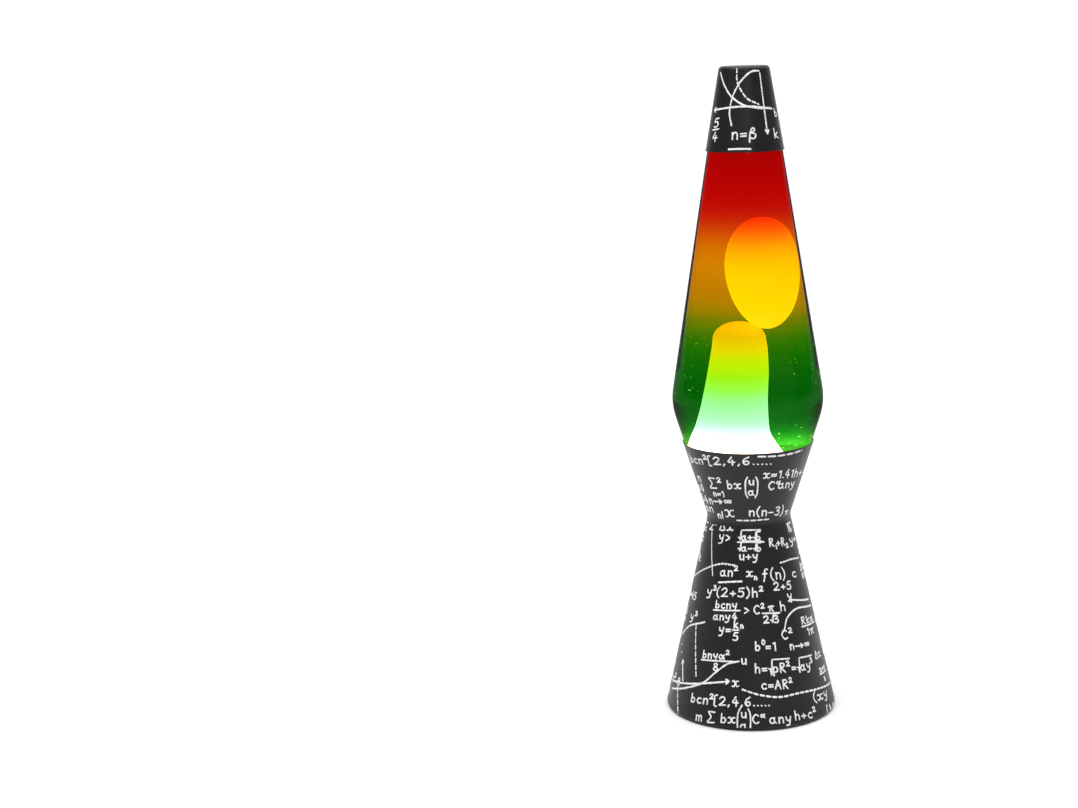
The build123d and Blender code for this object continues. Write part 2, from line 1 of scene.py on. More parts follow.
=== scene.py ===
import math
import bpy
import numpy as np
from mathutils import Euler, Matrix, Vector


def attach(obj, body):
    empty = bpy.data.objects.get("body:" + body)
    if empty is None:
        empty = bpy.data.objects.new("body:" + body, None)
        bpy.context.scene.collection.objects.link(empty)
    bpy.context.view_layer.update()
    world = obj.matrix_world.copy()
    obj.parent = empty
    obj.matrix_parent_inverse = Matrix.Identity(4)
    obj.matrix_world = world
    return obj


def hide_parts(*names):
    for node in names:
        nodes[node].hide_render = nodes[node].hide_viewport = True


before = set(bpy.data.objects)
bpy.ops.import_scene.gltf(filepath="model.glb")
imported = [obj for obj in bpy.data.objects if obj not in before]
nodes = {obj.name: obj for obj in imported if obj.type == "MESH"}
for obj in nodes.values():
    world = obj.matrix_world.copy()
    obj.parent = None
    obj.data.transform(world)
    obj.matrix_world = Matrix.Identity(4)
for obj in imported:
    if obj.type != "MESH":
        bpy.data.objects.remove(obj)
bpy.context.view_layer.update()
mm = 0.001
chance = np.random.default_rng(12)
print("frame in:", len(nodes), "parts")


# quads of a grid of points: each joins a point to the next column and the next row
def gridQuads(rows, columns, closed):
    low = np.arange(rows - 1)[:, None] * columns
    here = np.arange(columns if closed else columns - 1)[None, :]
    there = (here + 1) % columns
    quads = np.stack([low + here, low + there, low + columns + there, low + columns + here], -1)
    return quads.reshape(-1, 4)


# a mesh object from points in millimetres and lists of faces
def newPiece(name, points, faces, finish=None, crease=None):
    mesh = bpy.data.meshes.new(name)
    mesh.from_pydata((np.asarray(points, float) * mm).tolist(), [], faces)
    mesh.polygons.foreach_set("use_smooth", np.ones(len(mesh.polygons), bool))
    if crease:
        mesh.set_sharp_from_angle(angle=math.radians(crease))
    mesh.update()
    piece = bpy.data.objects.new(name, mesh)
    bpy.context.scene.collection.objects.link(piece)
    if finish:
        mesh.materials.append(finish)
    return piece


# points and faces of a grid whose rows are rings, each end closed on one point where asked
def ringFaces(grid, lowPole=False, highPole=False):
    rows, columns = grid.shape[:2]
    points = grid.reshape(-1, 3)
    faces = gridQuads(rows, columns, True).tolist()
    ring = np.arange(columns)
    after = (ring + 1) % columns
    if lowPole:
        hub = np.full(columns, len(points))
        points = np.vstack([points, grid[0].mean(0)])
        faces += np.stack([hub, after, ring], -1).tolist()
    if highPole:
        top = (rows - 1) * columns
        hub = np.full(columns, len(points))
        points = np.vstack([points, grid[-1].mean(0)])
        faces += np.stack([hub, top + ring, top + after], -1).tolist()
    return points, faces


# an outline turned about Z: x = r cos a, y = r sin a, z = height
def turned(outline, columns=144):
    angle = np.linspace(0, 2 * math.pi, columns, endpoint=False)
    radius, height = outline[:, :1], outline[:, 1:]
    return np.stack([radius * np.cos(angle), radius * np.sin(angle), height + 0 * angle], -1)


# straight runs with each corner rounded by the arc that touches both of its runs
def roundedOutline(corners, rounds, steps=12):
    corners = [np.array(c, float) for c in corners]
    parts = [corners[0][None]]
    for before, corner, after, radius in zip(corners, corners[1:], corners[2:], rounds):
        into, out = before - corner, after - corner
        into, out = into / np.linalg.norm(into), out / np.linalg.norm(out)
        half = math.acos(float(into @ out)) / 2
        start, end = corner + into * radius / math.tan(half), corner + out * radius / math.tan(half)
        middle = corner + (into + out) / np.linalg.norm(into + out) * radius / math.sin(half)
        first = math.atan2(*(start - middle)[::-1])
        turn = (math.atan2(*(end - middle)[::-1]) - first + math.pi) % (2 * math.pi) - math.pi
        angles = first + turn * np.linspace(0, 1, steps)
        parts.append(middle + radius * np.stack([np.cos(angles), np.sin(angles)], -1))
    parts.append(corners[-1][None])
    return np.vstack(parts)


# how far along a path each of its points is
def runLength(path):
    return np.concatenate([[0], np.cumsum(np.linalg.norm(np.diff(path, axis=0), axis=1))])


# the points of a path at the given distances along it
def pointsAt(path, along, ticks):
    return np.stack([np.interp(ticks, along, column) for column in path.T], -1)


# adds points along the long runs so that none is longer than the step
def filledOut(outline, step):
    along = runLength(outline)
    extra = np.arange(0, along[-1], step)
    every = np.unique(np.concatenate([along, extra]))
    return pointsAt(outline, along, every)


# a smooth curve through the points: each span is the cubic whose end slopes are half the
# chord between its neighbours
def curveThrough(points, perSpan=8):
    points = np.array(points, float)
    ends = np.vstack([2 * points[0] - points[1], points, 2 * points[-1] - points[-2]])
    a, b, c, d = ends[:-3, None], ends[1:-2, None], ends[2:-1, None], ends[3:, None]
    t = np.linspace(0, 1, perSpan, endpoint=False)[None, :, None]
    spans = 0.5 * (2 * b + (c - a) * t + (2 * a - 5 * b + 4 * c - d) * t**2 + (3 * b - a - 3 * c + d) * t**3)
    return np.vstack([spans.reshape(-1, points.shape[1]), points[-1:]])


# a material with one Principled shader, whose even values are set on its own sockets
def newFinish(name, **values):
    finish = bpy.data.materials.new(name)
    finish.use_nodes = True
    shader = finish.node_tree.nodes["Principled BSDF"]
    for socket, value in values.items():
        key = socket.replace("_", " ")
        shader.inputs[key].default_value = (*value, 1) if isinstance(value, tuple) else value
    return finish, finish.node_tree, shader


# a shader node whose even values are its properties or, failing those, its sockets
def addNode(tree, kind, **values):
    node = tree.nodes.new(kind)
    for key, value in values.items():
        if hasattr(node, key):
            setattr(node, key, value)
        else:
            node.inputs[key.replace("_", " ")].default_value = value
    return node


# object coordinates, stretched along each axis by the scale
def placed(tree, scale=(1, 1, 1)):
    coordinates = tree.nodes.new("ShaderNodeTexCoord")
    mapping = addNode(tree, "ShaderNodeMapping", Scale=scale)
    tree.links.new(coordinates.outputs["Object"], mapping.inputs["Vector"])
    return mapping.outputs["Vector"]


# noise at a scale, read at the given place
def noise(tree, where, scale, detail=3.0, rough=0.5):
    node = addNode(tree, "ShaderNodeTexNoise", Scale=scale, Detail=detail, Roughness=rough)
    tree.links.new(where, node.inputs["Vector"])
    return node.outputs["Fac"]


# maps a value from one range to another
def ranged(tree, value, low, high, toLow, toHigh):
    node = tree.nodes.new("ShaderNodeMapRange")
    for key, number in zip(("From Min", "From Max", "To Min", "To Max"), (low, high, toLow, toHigh)):
        node.inputs[key].default_value = number
    tree.links.new(value, node.inputs["Value"])
    return node.outputs["Result"]


# colours along a value between 0 and 1: [(place, (r, g, b)), ...]
def ramp(tree, value, stops):
    node = tree.nodes.new("ShaderNodeValToRGB")
    elements = node.color_ramp.elements
    while len(elements) < len(stops):
        elements.new(0.5)
    for element, (place, colour) in zip(elements, stops):
        element.position = place
        element.color = (*colour, 1)
    tree.links.new(value, node.inputs["Fac"])
    return node.outputs["Color"]


# a fine bump from a height value
def bump(tree, shader, height, strength, distance):
    node = addNode(tree, "ShaderNodeBump", Strength=strength, Distance=distance)
    tree.links.new(height, node.inputs["Height"])
    tree.links.new(node.outputs["Normal"], shader.inputs["Normal"])


# height above the floor, as 0 at the low and 1 at the high, in millimetres
def heightShare(tree, low, high):
    split = tree.nodes.new("ShaderNodeSeparateXYZ")
    tree.links.new(placed(tree), split.inputs["Vector"])
    return ranged(tree, split.outputs["Z"], low * mm, high * mm, 0, 1)


# a socket's colour, from the dark one where the value is low to the light one where it is high
def mottle(tree, value, dark, light, socket, low=0.3, high=0.7):
    tree.links.new(ramp(tree, value, [(low, dark), (high, light)]), socket)


# a plain colour broken up by noise, with its gloss varied and a fine grain in the surface
def speckled(name, dark, light, scale=60, gloss=(0.35, 0.5), grain=400, depth=0.15, stretch=(1, 1, 1),
             detail=3.0, rough=0.5, distance=0.0002, **values):
    finish, tree, shader = newFinish(name, **values)
    where = placed(tree, stretch)
    cloud = noise(tree, where, scale, detail, rough)
    mottle(tree, cloud, dark, light, shader.inputs["Base Color"])
    tree.links.new(ranged(tree, cloud, 0.3, 0.7, *gloss), shader.inputs["Roughness"])
    bump(tree, shader, noise(tree, where, grain, 2.0), depth, distance)
    return finish


# sRGB numbers from 0 to 255 as linear light
def linear(red, green, blue):
    share = np.array([red, green, blue]) / 255
    light = np.where(share <= 0.04045, share / 12.92, ((share + 0.055) / 1.055) ** 2.4)
    return tuple(light.tolist())


bottle = {
    "floor": 131.0, "floorRadius": 26.81, "heelRound": 4.0,
    "shoulder": 195.55, "shoulderRadius": 47.27, "shoulderRound": 39.0,
    "neckStart": 361.0, "neckStartRadius": 20.85, "neckRadius": 12.2, "neckRoot": 371.0,
    "beadLow": 382.6, "bead": 0.9, "mouth": 388.9, "wall": 2.4, "fill": 364.0, "refraction": 1.37, "pole": 0.6,
}

# stain seen through both walls, by height in millimetres, in sRGB from 0 to 255; the glass's own tint, with the
# lowest rows made lighter by painted light from the bulb below
stain = [
    (160, (90, 200, 50)), (170, (72, 190, 38)), (178, (38, 160, 24)), (184, (6, 112, 10)),
    (192, (3, 82, 5)), (205, (4, 84, 5)), (217, (8, 92, 3)), (226, (26, 102, 1)),
    (234, (52, 107, 0)), (240, (80, 111, 0)), (246, (128, 119, 1)), (252, (157, 121, 1)),
    (262, (176, 114, 0)), (274, (192, 120, 0)), (284, (200, 118, 0)), (293, (200, 97, 2)),
    (300, (196, 70, 4)), (306, (188, 42, 3)), (312, (184, 18, 4)), (320, (178, 4, 2)),
    (345, (162, 1, 0)), (390, (150, 1, 0)),
]

# painted shade: how far the stain is darkened, from a wall seen square on, 0, to one seen along its surface, 1
paintedEdgeShade = [(0.0, 1), (0.5, 0.97), (0.8, 0.72), (1.0, 0.42)]

# painted light: the bulb's light in the liquid above it, drawn as a green glow, from the stain's lowest height to its
# highest
paintedFootGlow = [(0.0, (0.08, 0.46, 0.02)), (0.05, (0.04, 0.3, 0.012)), (0.09, (0.004, 0.06, 0.002)),
            (0.13, (0, 0.006, 0)), (0.4, (0, 0, 0))]


# the stain as a ramp's stops. A look crosses two walls, so each wall has the square root of it
def stainStops(low, high):
    return [((z - low) / (high - low), tuple(c ** 0.5 for c in linear(*colour))) for z, colour in stain]


# refraction through the stain, darkened towards the edges by painted shade, mixed with a mirror whose share grows
# towards the edges, plus the painted glow of the bulb's light at the foot
def makeStainedGlass():
    finish = bpy.data.materials.new("stainedGlass")
    finish.use_nodes = True
    tree = finish.node_tree
    tree.nodes.remove(tree.nodes["Principled BSDF"])
    low, high = stain[0][0], stain[-1][0]
    share = heightShare(tree, low, high)
    colour = ramp(tree, share, stainStops(low, high))
    # painted shade: the stain is darkened where the wall is seen edge-on
    facing = addNode(tree, "ShaderNodeLayerWeight", Blend=0.5)
    paintedEdgeDarkening = ramp(tree, facing.outputs["Facing"], [(place, (grey,) * 3) for place, grey in paintedEdgeShade])
    stainWithPaintedShade = tree.nodes.new("ShaderNodeMix")
    stainWithPaintedShade.data_type, stainWithPaintedShade.blend_type = "RGBA", "MULTIPLY"
    stainWithPaintedShade.inputs["Factor"].default_value = 1.0
    tree.links.new(colour, stainWithPaintedShade.inputs["A"])
    tree.links.new(paintedEdgeDarkening, stainWithPaintedShade.inputs["B"])
    bend = addNode(tree, "ShaderNodeBsdfRefraction", Roughness=0.0, IOR=bottle["refraction"])
    tree.links.new(stainWithPaintedShade.outputs["Result"], bend.inputs["Color"])
    mirror = addNode(tree, "ShaderNodeBsdfAnisotropic", Roughness=0.03)
    fresnel = addNode(tree, "ShaderNodeFresnel", IOR=1.3)
    both = tree.nodes.new("ShaderNodeMixShader")
    tree.links.new(ranged(tree, fresnel.outputs["Fac"], 0, 1, 0.003, 0.13), both.inputs["Fac"])
    tree.links.new(bend.outputs["BSDF"], both.inputs[1])
    tree.links.new(mirror.outputs["BSDF"], both.inputs[2])
    # painted light: the bulb's glow in the liquid, as emission by height
    paintedBulbLight = addNode(tree, "ShaderNodeEmission", Strength=1.0)
    tree.links.new(ramp(tree, share, paintedFootGlow), paintedBulbLight.inputs["Color"])
    total = tree.nodes.new("ShaderNodeAddShader")
    tree.links.new(both.outputs[0], total.inputs[0])
    tree.links.new(paintedBulbLight.outputs[0], total.inputs[1])
    tree.links.new(total.outputs[0], tree.nodes["Material Output"].inputs["Surface"])
    return finish


# the bottle with its liquid: the outline turned about Z, with the air over the liquid left hollow
def makeGlobe():
    b = bottle
    outer = roundedOutline(
        [(b["pole"], b["floor"]), (b["floorRadius"], b["floor"]), (b["shoulderRadius"], b["shoulder"]),
         (b["neckStartRadius"], b["neckStart"]), (b["neckRadius"], b["neckRoot"]), (b["neckRadius"], b["beadLow"]),
         (b["neckRadius"] + b["bead"], b["beadLow"] + 0.8), (b["neckRadius"] + b["bead"], b["mouth"] - 0.7),
         (b["neckRadius"] + 0.2, b["mouth"]), (b["pole"], b["mouth"])],
        [b["heelRound"], b["shoulderRound"], 7.0, 5.0, 0.5, 0.5, 0.4, 0.3], steps=20)
    skin, skinFaces = ringFaces(turned(filledOut(outer, 3.0)), True, True)
    # the air over the liquid: a hollow whose faces look inwards, with the liquid's edge drawn up the wall
    innerNeck, fill, lid = b["neckRadius"] - b["wall"], b["fill"], b["mouth"] - 0.6
    air = roundedOutline(
        [(b["pole"], fill), (14.6, fill), (15.4, fill + 1.2), (14.0, fill + 4), (innerNeck, fill + 9),
         (innerNeck, lid), (b["pole"], lid)], [1.0, 0.6, 3.0, 3.0, 0.4], steps=8)
    hollow, hollowFaces = ringFaces(turned(filledOut(air, 3.0)), True, True)
    faces = skinFaces + [[k + len(skin) for k in reversed(face)] for face in hollowFaces]
    globe = newPiece("bottleGlass", np.vstack([skin, hollow]), faces, makeStainedGlass(), crease=50)
    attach(globe, "globe")
    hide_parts("globe_glass", "clear_liquid")


# the free blob: radius = girth * sqrt(1 - s^2) * (1 + taper * s), s from -1 at its foot to 1 at its top
blob = {
    "foot": (10.1, -5.0, 241.5), "height": 68.0, "girth": 18.3, "taper": 0.08, "lean": -2.7,
    # painted light: the bulb's light on the wax drawn as glow, strongest low down, by height from foot to top
    "paintedBulbLight": [(0.0, (1.7, 1.4, 0.02)), (0.25, (1.5, 1.55, 0.03)), (0.5, (1.32, 1.34, 0.03)), (0.75, (1.3, 1.05, 0.03)),
             (0.9, (1.28, 0.6, 0.02)), (1.0, (1.25, 0.34, 0.01))],
}

# the rising column and the pool it comes from: height, x, y, radius
mound = {
    "rings": [(133.6, 0, 0, 12), (134.2, 0, 0, 20), (137, -0.4, 0, 23.8), (146, -1.6, 0, 25.8),
              (156, -4.4, 0.2, 25.2), (167, -5.9, 0.8, 21.8), (175, -6.8, 1.4, 19.0), (183, -7.0, 2.2, 16.5),
              (193, -5.8, 3.4, 14.6), (204, -4.7, 4.4, 13.7), (213, -3.9, 5.2, 13.1), (226, -3.2, 6, 12.0),
              (233.2, -3.2, 6, 11.3)],
    # painted light: the bulb's light on the wax drawn as glow, so strong low down that it shows white through the
    # stain
    "paintedBulbLight": [(0.0, (40, 9, 40)), (0.42, (24, 6, 24)), (0.55, (11, 4, 9)), (0.63, (8, 3.2, 2.0)),
             (0.7, (6.8, 2.6, 0.2)), (0.78, (5.0, 2.2, 0.04)), (0.86, (3.9, 1.6, 0.02)), (0.93, (2.1, 1.1, 0.02)),
             (1.0, (1.35, 0.86, 0.01))],
}


# wax with the bulb's light from below painted on as glow: the painted light's colour goes by height, and the skin is
# faintly mottled
def makeWaxWithPaintedLight(name, low, high, paintedBulbLight):
    strongest = max(max(colour) for _, colour in paintedBulbLight)
    finish, tree, shader = newFinish(name, Base_Color=(0.5, 0.42, 0.16), Roughness=0.45, Specular_IOR_Level=0.2)
    stops = [(place, tuple(c / strongest for c in colour)) for place, colour in paintedBulbLight]
    # painted light: the emission's colour goes by height
    tree.links.new(ramp(tree, heightShare(tree, low, high), stops), shader.inputs["Emission Color"])
    shader.inputs["Emission Strength"].default_value = strongest
    bump(tree, shader, noise(tree, placed(tree), 90, 1.0), 0.1, 0.0004)
    return finish


# the ellipsoid above, turned about Z, then leaned about Y and moved to its foot
def makeBlob():
    s = -np.cos(np.linspace(0.04, math.pi - 0.04, 90))
    radius = blob["girth"] * np.sqrt(1 - s**2) * (1 + blob["taper"] * s)
    grid = turned(np.stack([radius, (s + 1) / 2 * blob["height"]], -1), 96)
    lean = np.array(Euler((0, math.radians(blob["lean"]), 0)).to_matrix())
    grid = grid @ lean.T + np.array(blob["foot"])
    points, faces = ringFaces(grid, True, True)
    low = blob["foot"][2]
    piece = newPiece("freeWax", points, faces, makeWaxWithPaintedLight("freeWaxPaintedLight", low, low + blob["height"], blob["paintedBulbLight"]))
    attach(piece, "blob")
    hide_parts("wax_blob")


# rings whose centre and radius follow a smooth curve, closed by a half ball on the last ring
def makeMound():
    rings = np.array(mound["rings"], float)
    body = curveThrough(rings, 10)
    z, x, y, radius = rings[-1]
    arc = np.linspace(0, math.pi / 2 - 0.05, 16)[1:]
    dome = np.stack([z + radius * np.sin(arc), x + 0 * arc, y + 0 * arc, radius * np.cos(arc)], -1)
    rows = np.vstack([body, dome])
    angle = np.linspace(0, 2 * math.pi, 120, endpoint=False)
    z, x, y, radius = rows.T[:, :, None]
    grid = np.stack([x + radius * np.cos(angle), y + radius * np.sin(angle), z + 0 * angle], -1)
    points, faces = ringFaces(grid, True, True)
    finish = makeWaxWithPaintedLight("moundPaintedLight", rings[0, 0], rings[-1, 0] + rings[-1, 3], mound["paintedBulbLight"])
    piece = newPiece("waxMound", points, faces, finish)
    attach(piece, "globe")
    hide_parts("wax_mound")


coil = {"turns": 70, "circle": 17.0, "tube": 2.1, "wire": 0.4, "level": 136.9}


# the heating coil: a wire that winds round a circle, x = (R + r cos nt) cos t
def makeCoil():
    turns, circle, tube, wire, level = coil.values()
    t = np.linspace(0, 2 * math.pi, turns * 12, endpoint=False)[:, None]
    a = np.linspace(0, 2 * math.pi, 8, endpoint=False)[None, :]
    out = circle + tube * np.cos(turns * t) + wire * np.cos(turns * t) * np.cos(a)
    z = level + tube * np.sin(turns * t) + wire * np.sin(turns * t) * np.cos(a)
    side = t + wire * np.sin(a) / circle
    grid = np.stack([out * np.cos(side), out * np.sin(side), z], -1)
    rows, columns = grid.shape[:2]
    faces = gridQuads(rows + 1, columns, True) % (rows * columns)
    piece = newPiece("coilWire", grid.reshape(-1, 3), faces[:, ::-1].tolist(), steelFinish)
    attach(piece, "globe")
    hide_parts("heat_coil")


# tiny bubbles and specks of wax that hang in the green part, glowing with painted light: small eight-sided balls at
# seeded places
bubbles = {
    "count": 260, "low": 172.0, "high": 236.0, "small": 0.10, "large": 0.34,
    "wallHeight": [131, 195.55, 361], "wallRadius": [24.3, 44.6, 18.3], "clear": 1.5,
}


# balls at x = d cos a, y = d sin a, with more of them low down and near the wall
def makeBubbles():
    count = bubbles["count"]
    z = bubbles["low"] + (bubbles["high"] - bubbles["low"]) * chance.random(count) ** 1.7
    wall = np.interp(z, bubbles["wallHeight"], bubbles["wallRadius"]) - bubbles["clear"]
    angle = 2 * math.pi * chance.random(count)
    out = wall * np.sqrt(0.55 + 0.45 * chance.random(count))
    size = bubbles["small"] + (bubbles["large"] - bubbles["small"]) * chance.random(count) ** 3
    centre = np.stack([out * np.cos(angle), out * np.sin(angle), z], -1)
    tilt = np.linspace(-1, 1, 5)[1:-1] * math.pi / 2
    ball = turned(np.stack([np.cos(tilt), np.sin(tilt)], -1), 8)
    unit, faces = ringFaces(ball, True, True)
    unit[-2:] = [[0, 0, -1], [0, 0, 1]]
    points = (centre[:, None] + size[:, None, None] * unit[None]).reshape(-1, 3)
    every = [[k + n * len(unit) for k in face] for n in range(count) for face in faces]
    # painted light: the specks glow as emission, as if lit by the bulb
    finish, tree, shader = newFinish("speckPaintedLight", Roughness=0.3, Emission_Strength=5.0)
    shade = noise(tree, placed(tree), 900, 0.0)
    mottle(tree, shade, (0.5, 0.12, 0.05), (1, 0.6, 0.3), shader.inputs["Emission Color"], 0.35, 0.65)
    mottle(tree, shade, (0.6, 0.7, 0.4), (0.9, 0.9, 0.7), shader.inputs["Base Color"], 0.35, 0.65)
    piece = newPiece("waxSpecks", points, every, finish)
    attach(piece, "globe")


# straight runs between points
def line(*points):
    return np.array(points, float)


# a sign's straight stroke, from points in hundredths of a digit's height
def ruled(*points):
    return line(*points) / 100


# a sign's curved stroke, from points in the same hundredths
def bend(*points):
    return curveThrough(line(*points) / 100, 7)


# part of an ellipse, in degrees from the right
def oval(x, y, wide, high, start=0, end=360):
    angle = np.radians(np.linspace(start, end, max(8, int(abs(end - start) / 16))))
    return np.stack([x + wide * np.cos(angle), y + high * np.sin(angle)], -1)


# each sign's strokes. A digit is 1 high, and each oval is given in that measure
signs = {
    "0": [oval(0.3, 0.5, 0.26, 0.5, 100, 450)],
    "1": [ruled((10, 76), (30, 100), (30, 0))],
    "2": [bend((4, 76), (30, 100), (54, 74), (34, 36), (2, 2)), ruled((2, 2), (60, 4))],
    "3": [bend((5, 90), (34, 100), (50, 77), (20, 54)), bend((20, 54), (54, 40), (42, 4), (2, 8))],
    "4": [ruled((36, 100), (2, 34), (58, 34)), ruled((42, 62), (40, -4))],
    "5": [ruled((54, 100), (12, 98), (9, 60)), bend((9, 60), (42, 60), (52, 24), (30, 0), (2, 10))],
    "6": [bend((48, 100), (14, 70), (6, 25), (30, 0), (52, 25), (34, 48), (9, 32))],
    "7": [ruled((2, 98), (54, 100), (20, 0))],
    "8": [bend((30, 54), (7, 78), (30, 100), (52, 78), (30, 54), (4, 24), (30, 0), (56, 24), (30, 54))],
    "9": [bend((50, 74), (28, 52), (6, 74), (30, 100), (50, 76), (44, 30), (26, 0))],
    "x": [bend((0, 58), (16, 66), (30, 32), (46, 0), (62, 8)), bend((60, 60), (44, 60), (30, 32), (16, 2), (0, 4))],
    "y": [bend((4, 64), (10, 34), (26, 22), (44, 40)), bend((50, 66), (42, 20), (30, -24), (4, -26))],
    "z": [ruled((4, 60), (50, 62), (2, 2), (54, 2)), ruled((14, 30), (42, 32))],
    "n": [ruled((4, 62), (5, 0)), bend((5, 40), (26, 64), (44, 48), (45, 0))],
    "m": [ruled((4, 62), (5, 0)), bend((5, 40), (20, 64), (33, 44), (34, 2)),
          bend((34, 40), (50, 64), (63, 44), (64, 0))],
    "a": [oval(0.24, 0.3, 0.22, 0.31, 30, 385), bend((46, 62), (46, 20), (60, 2))],
    "b": [ruled((8, 100), (7, 4)), bend((7, 40), (30, 60), (50, 30), (30, 0), (7, 10))],
    "c": [bend((46, 54), (26, 64), (4, 34), (22, 0), (48, 8))],
    "f": [bend((50, 98), (34, 104), (24, 80), (20, 20), (10, -20)), ruled((4, 54), (42, 56))],
    "h": [ruled((6, 100), (6, 0)), bend((6, 40), (26, 62), (44, 46), (45, 0))],
    "k": [ruled((6, 100), (6, 0)), ruled((44, 62), (8, 30), (48, 0))],
    "p": [ruled((6, 62), (6, -34)), bend((6, 44), (30, 64), (50, 32), (28, 2), (7, 14))],
    "r": [ruled((5, 62), (6, 0)), bend((6, 36), (20, 60), (42, 58))],
    "t": [bend((22, 92), (20, 20), (34, 0), (46, 8)), ruled((2, 60), (42, 62))],
    "u": [bend((4, 62), (8, 14), (26, 0), (44, 20)), ruled((46, 62), (48, 0))],
    "A": [ruled((0, 0), (30, 100), (58, 0)), ruled((10, 36), (50, 38))],
    "C": [bend((56, 84), (32, 100), (4, 50), (30, 0), (58, 14))],
    "R": [ruled((6, 0), (6, 98)), bend((6, 96), (40, 100), (48, 70), (8, 50)), ruled((16, 50), (54, 0))],
    "V": [ruled((0, 100), (26, 0), (54, 100))],
    "α": [bend((62, 62), (38, 12), (16, 0), (2, 30), (18, 62), (40, 46), (64, 0))],
    "β": [bend((2, -30), (8, 50), (30, 100), (50, 78), (16, 56)), bend((16, 56), (56, 40), (40, 2), (10, 10))],
    "θ": [oval(0.26, 0.5, 0.22, 0.5), ruled((6, 50), (46, 50))],
    "λ": [bend((4, 98), (18, 90), (34, 30), (54, 0)), ruled((28, 54), (4, 0))],
    "π": [bend((0, 54), (10, 64), (66, 66)), ruled((22, 64), (16, 0)), bend((46, 64), (44, 16), (60, 2))],
    "S": [ruled((74, 110), (6, 118), (44, 55), (0, -8), (78, -4))],
    "I": [bend((56, 130), (42, 140), (34, 110), (26, 0), (18, -28), (2, -20))],
    "∞": [bend((45, 40), (24, 60), (4, 40), (24, 20), (45, 40), (66, 60), (86, 40), (66, 20), (45, 40))],
    "Δ": [ruled((32, 96), (0, 2), (68, 0), (32, 96))],
    "+": [ruled((4, 36), (50, 36)), ruled((27, 60), (27, 12))],
    "-": [ruled((4, 36), (46, 37))],
    "±": [ruled((4, 42), (46, 42)), ruled((25, 64), (25, 20)), ruled((4, 8), (46, 8))],
    "=": [ruled((4, 46), (48, 48)), ruled((5, 24), (48, 25))],
    "≈": [bend((0, 44), (14, 54), (34, 42), (50, 52)), bend((0, 22), (14, 32), (34, 20), (50, 30))],
    "<": [ruled((46, 64), (4, 34), (46, 6))],
    ">": [ruled((4, 64), (46, 36), (4, 6))],
    "(": [bend((26, 112), (6, 70), (6, 20), (26, -16))],
    ")": [bend((2, 112), (22, 70), (22, 20), (2, -16))],
    "[": [ruled((30, 114), (6, 112), (6, -14), (30, -16))],
    "]": [ruled((0, 114), (24, 112), (24, -14), (0, -16))],
    "|": [ruled((6, 116), (6, -16))],
    "!": [ruled((10, 100), (8, 34)), ruled((8, 8), (8, 5))],
    ".": [ruled((6, 5), (9, 3))],
    ",": [ruled((10, 6), (2, -14))],
    ":": [ruled((8, 50), (8, 47)), ruled((8, 16), (8, 13))],
    "*": [ruled((8, 38), (10, 36))],
    ">>": [ruled((0, 36), (120, 36)), ruled((90, 60), (122, 36), (90, 12))],
}


# strokes scaled about the origin, then moved
def moved(strokes, x=0.0, y=0.0, size=1.0):
    return [stroke * size + (x, y) for stroke in strokes]


# the lower left and upper right corners of strokes
def extent(strokes):
    every = np.vstack(strokes)
    return every.min(0), every.max(0)


# the text between a brace and its partner, and the place after it; a lone sign needs no braces
def braced(text, place):
    if text[place] != "{":
        return text[place], place + 1
    depth, end = 1, place + 1
    while depth:
        depth += {"{": 1, "}": -1}.get(text[end], 0)
        end += 1
    return text[place + 1:end - 1], end


# sets a sum in strokes, left to right: ^ raises, _ lowers, / stacks two groups, @ puts a root over one,
# # makes brackets as high as their stacked pair
def writeSum(text):
    strokes, x, place = [], 0.0, 0
    while place < len(text):
        sign = text[place]
        if sign in "^_":
            inner, place = braced(text, place + 1)
            part = writeSum(inner)
            level = 0.66 if sign == "^" else -0.34
            strokes += moved(part, x - 0.04, level, 0.58)
            x += extent(part)[1][0] * 0.58 + 0.06
            continue
        if sign in "/#":
            upper, place = braced(text, place + 1)
            lower, place = braced(text, place)
            pair = [writeSum(upper), writeSum(lower)]
            wide = max(extent(part)[1][0] for part in pair)
            shift = [(wide - extent(part)[1][0]) / 2 for part in pair]
            if sign == "#":
                strokes += [curveThrough([(x + 0.22, 1.6), (x, 1.0), (x, -0.4), (x + 0.22, -0.95)], 5)]
                x += 0.3
                strokes += moved(pair[0], x + shift[0], 0.62, 0.92) + moved(pair[1], x + shift[1], -0.66, 0.92)
                x += wide + 0.12
                strokes += [curveThrough([(x, 1.6), (x + 0.22, 1.0), (x + 0.22, -0.4), (x, -0.95)], 5)]
                x += 0.42
            else:
                left = x + 0.08
                strokes += moved(pair[0], left + shift[0], 0.66, 0.9)
                strokes += moved(pair[1], left + shift[1], -0.78, 0.9)
                strokes += [line((x - 0.02, 0.4), (x + wide + 0.12, 0.43))]
                x += wide + 0.34
            continue
        if sign == "@":
            inner, place = braced(text, place + 1)
            part = writeSum(inner)
            (_, low), (wide, high) = extent(part)
            strokes += [line((x, 0.42), (x + 0.12, 0.5), (x + 0.26, low - 0.02), (x + 0.42, high + 0.2),
                             (x + 0.52 + wide, high + 0.24))]
            strokes += moved(part, x + 0.46, 0)
            x += wide + 0.7
            continue
        if text[place:place + 2] == ">>":
            sign = ">>"
        place += len(sign)
        if sign == " ":
            x += 0.4
            continue
        part = signs[sign]
        part = [stroke * (1.12, 1) for stroke in part]
        strokes += moved(part, x, 0)
        x += extent(part)[1][0] + 0.28
    return strokes


# a line with two barbs, each going back along it and 0.7 as far to the side
def arrow(start, end, head=1.6):
    start, end = np.array(start, float), np.array(end, float)
    along = (end - start) / np.linalg.norm(end - start)
    across = np.array([-along[1], along[0]])
    barbs = line(end - (along - 0.7 * across) * head, end, end - (along + 0.7 * across) * head)
    return [line(start, end), barbs]


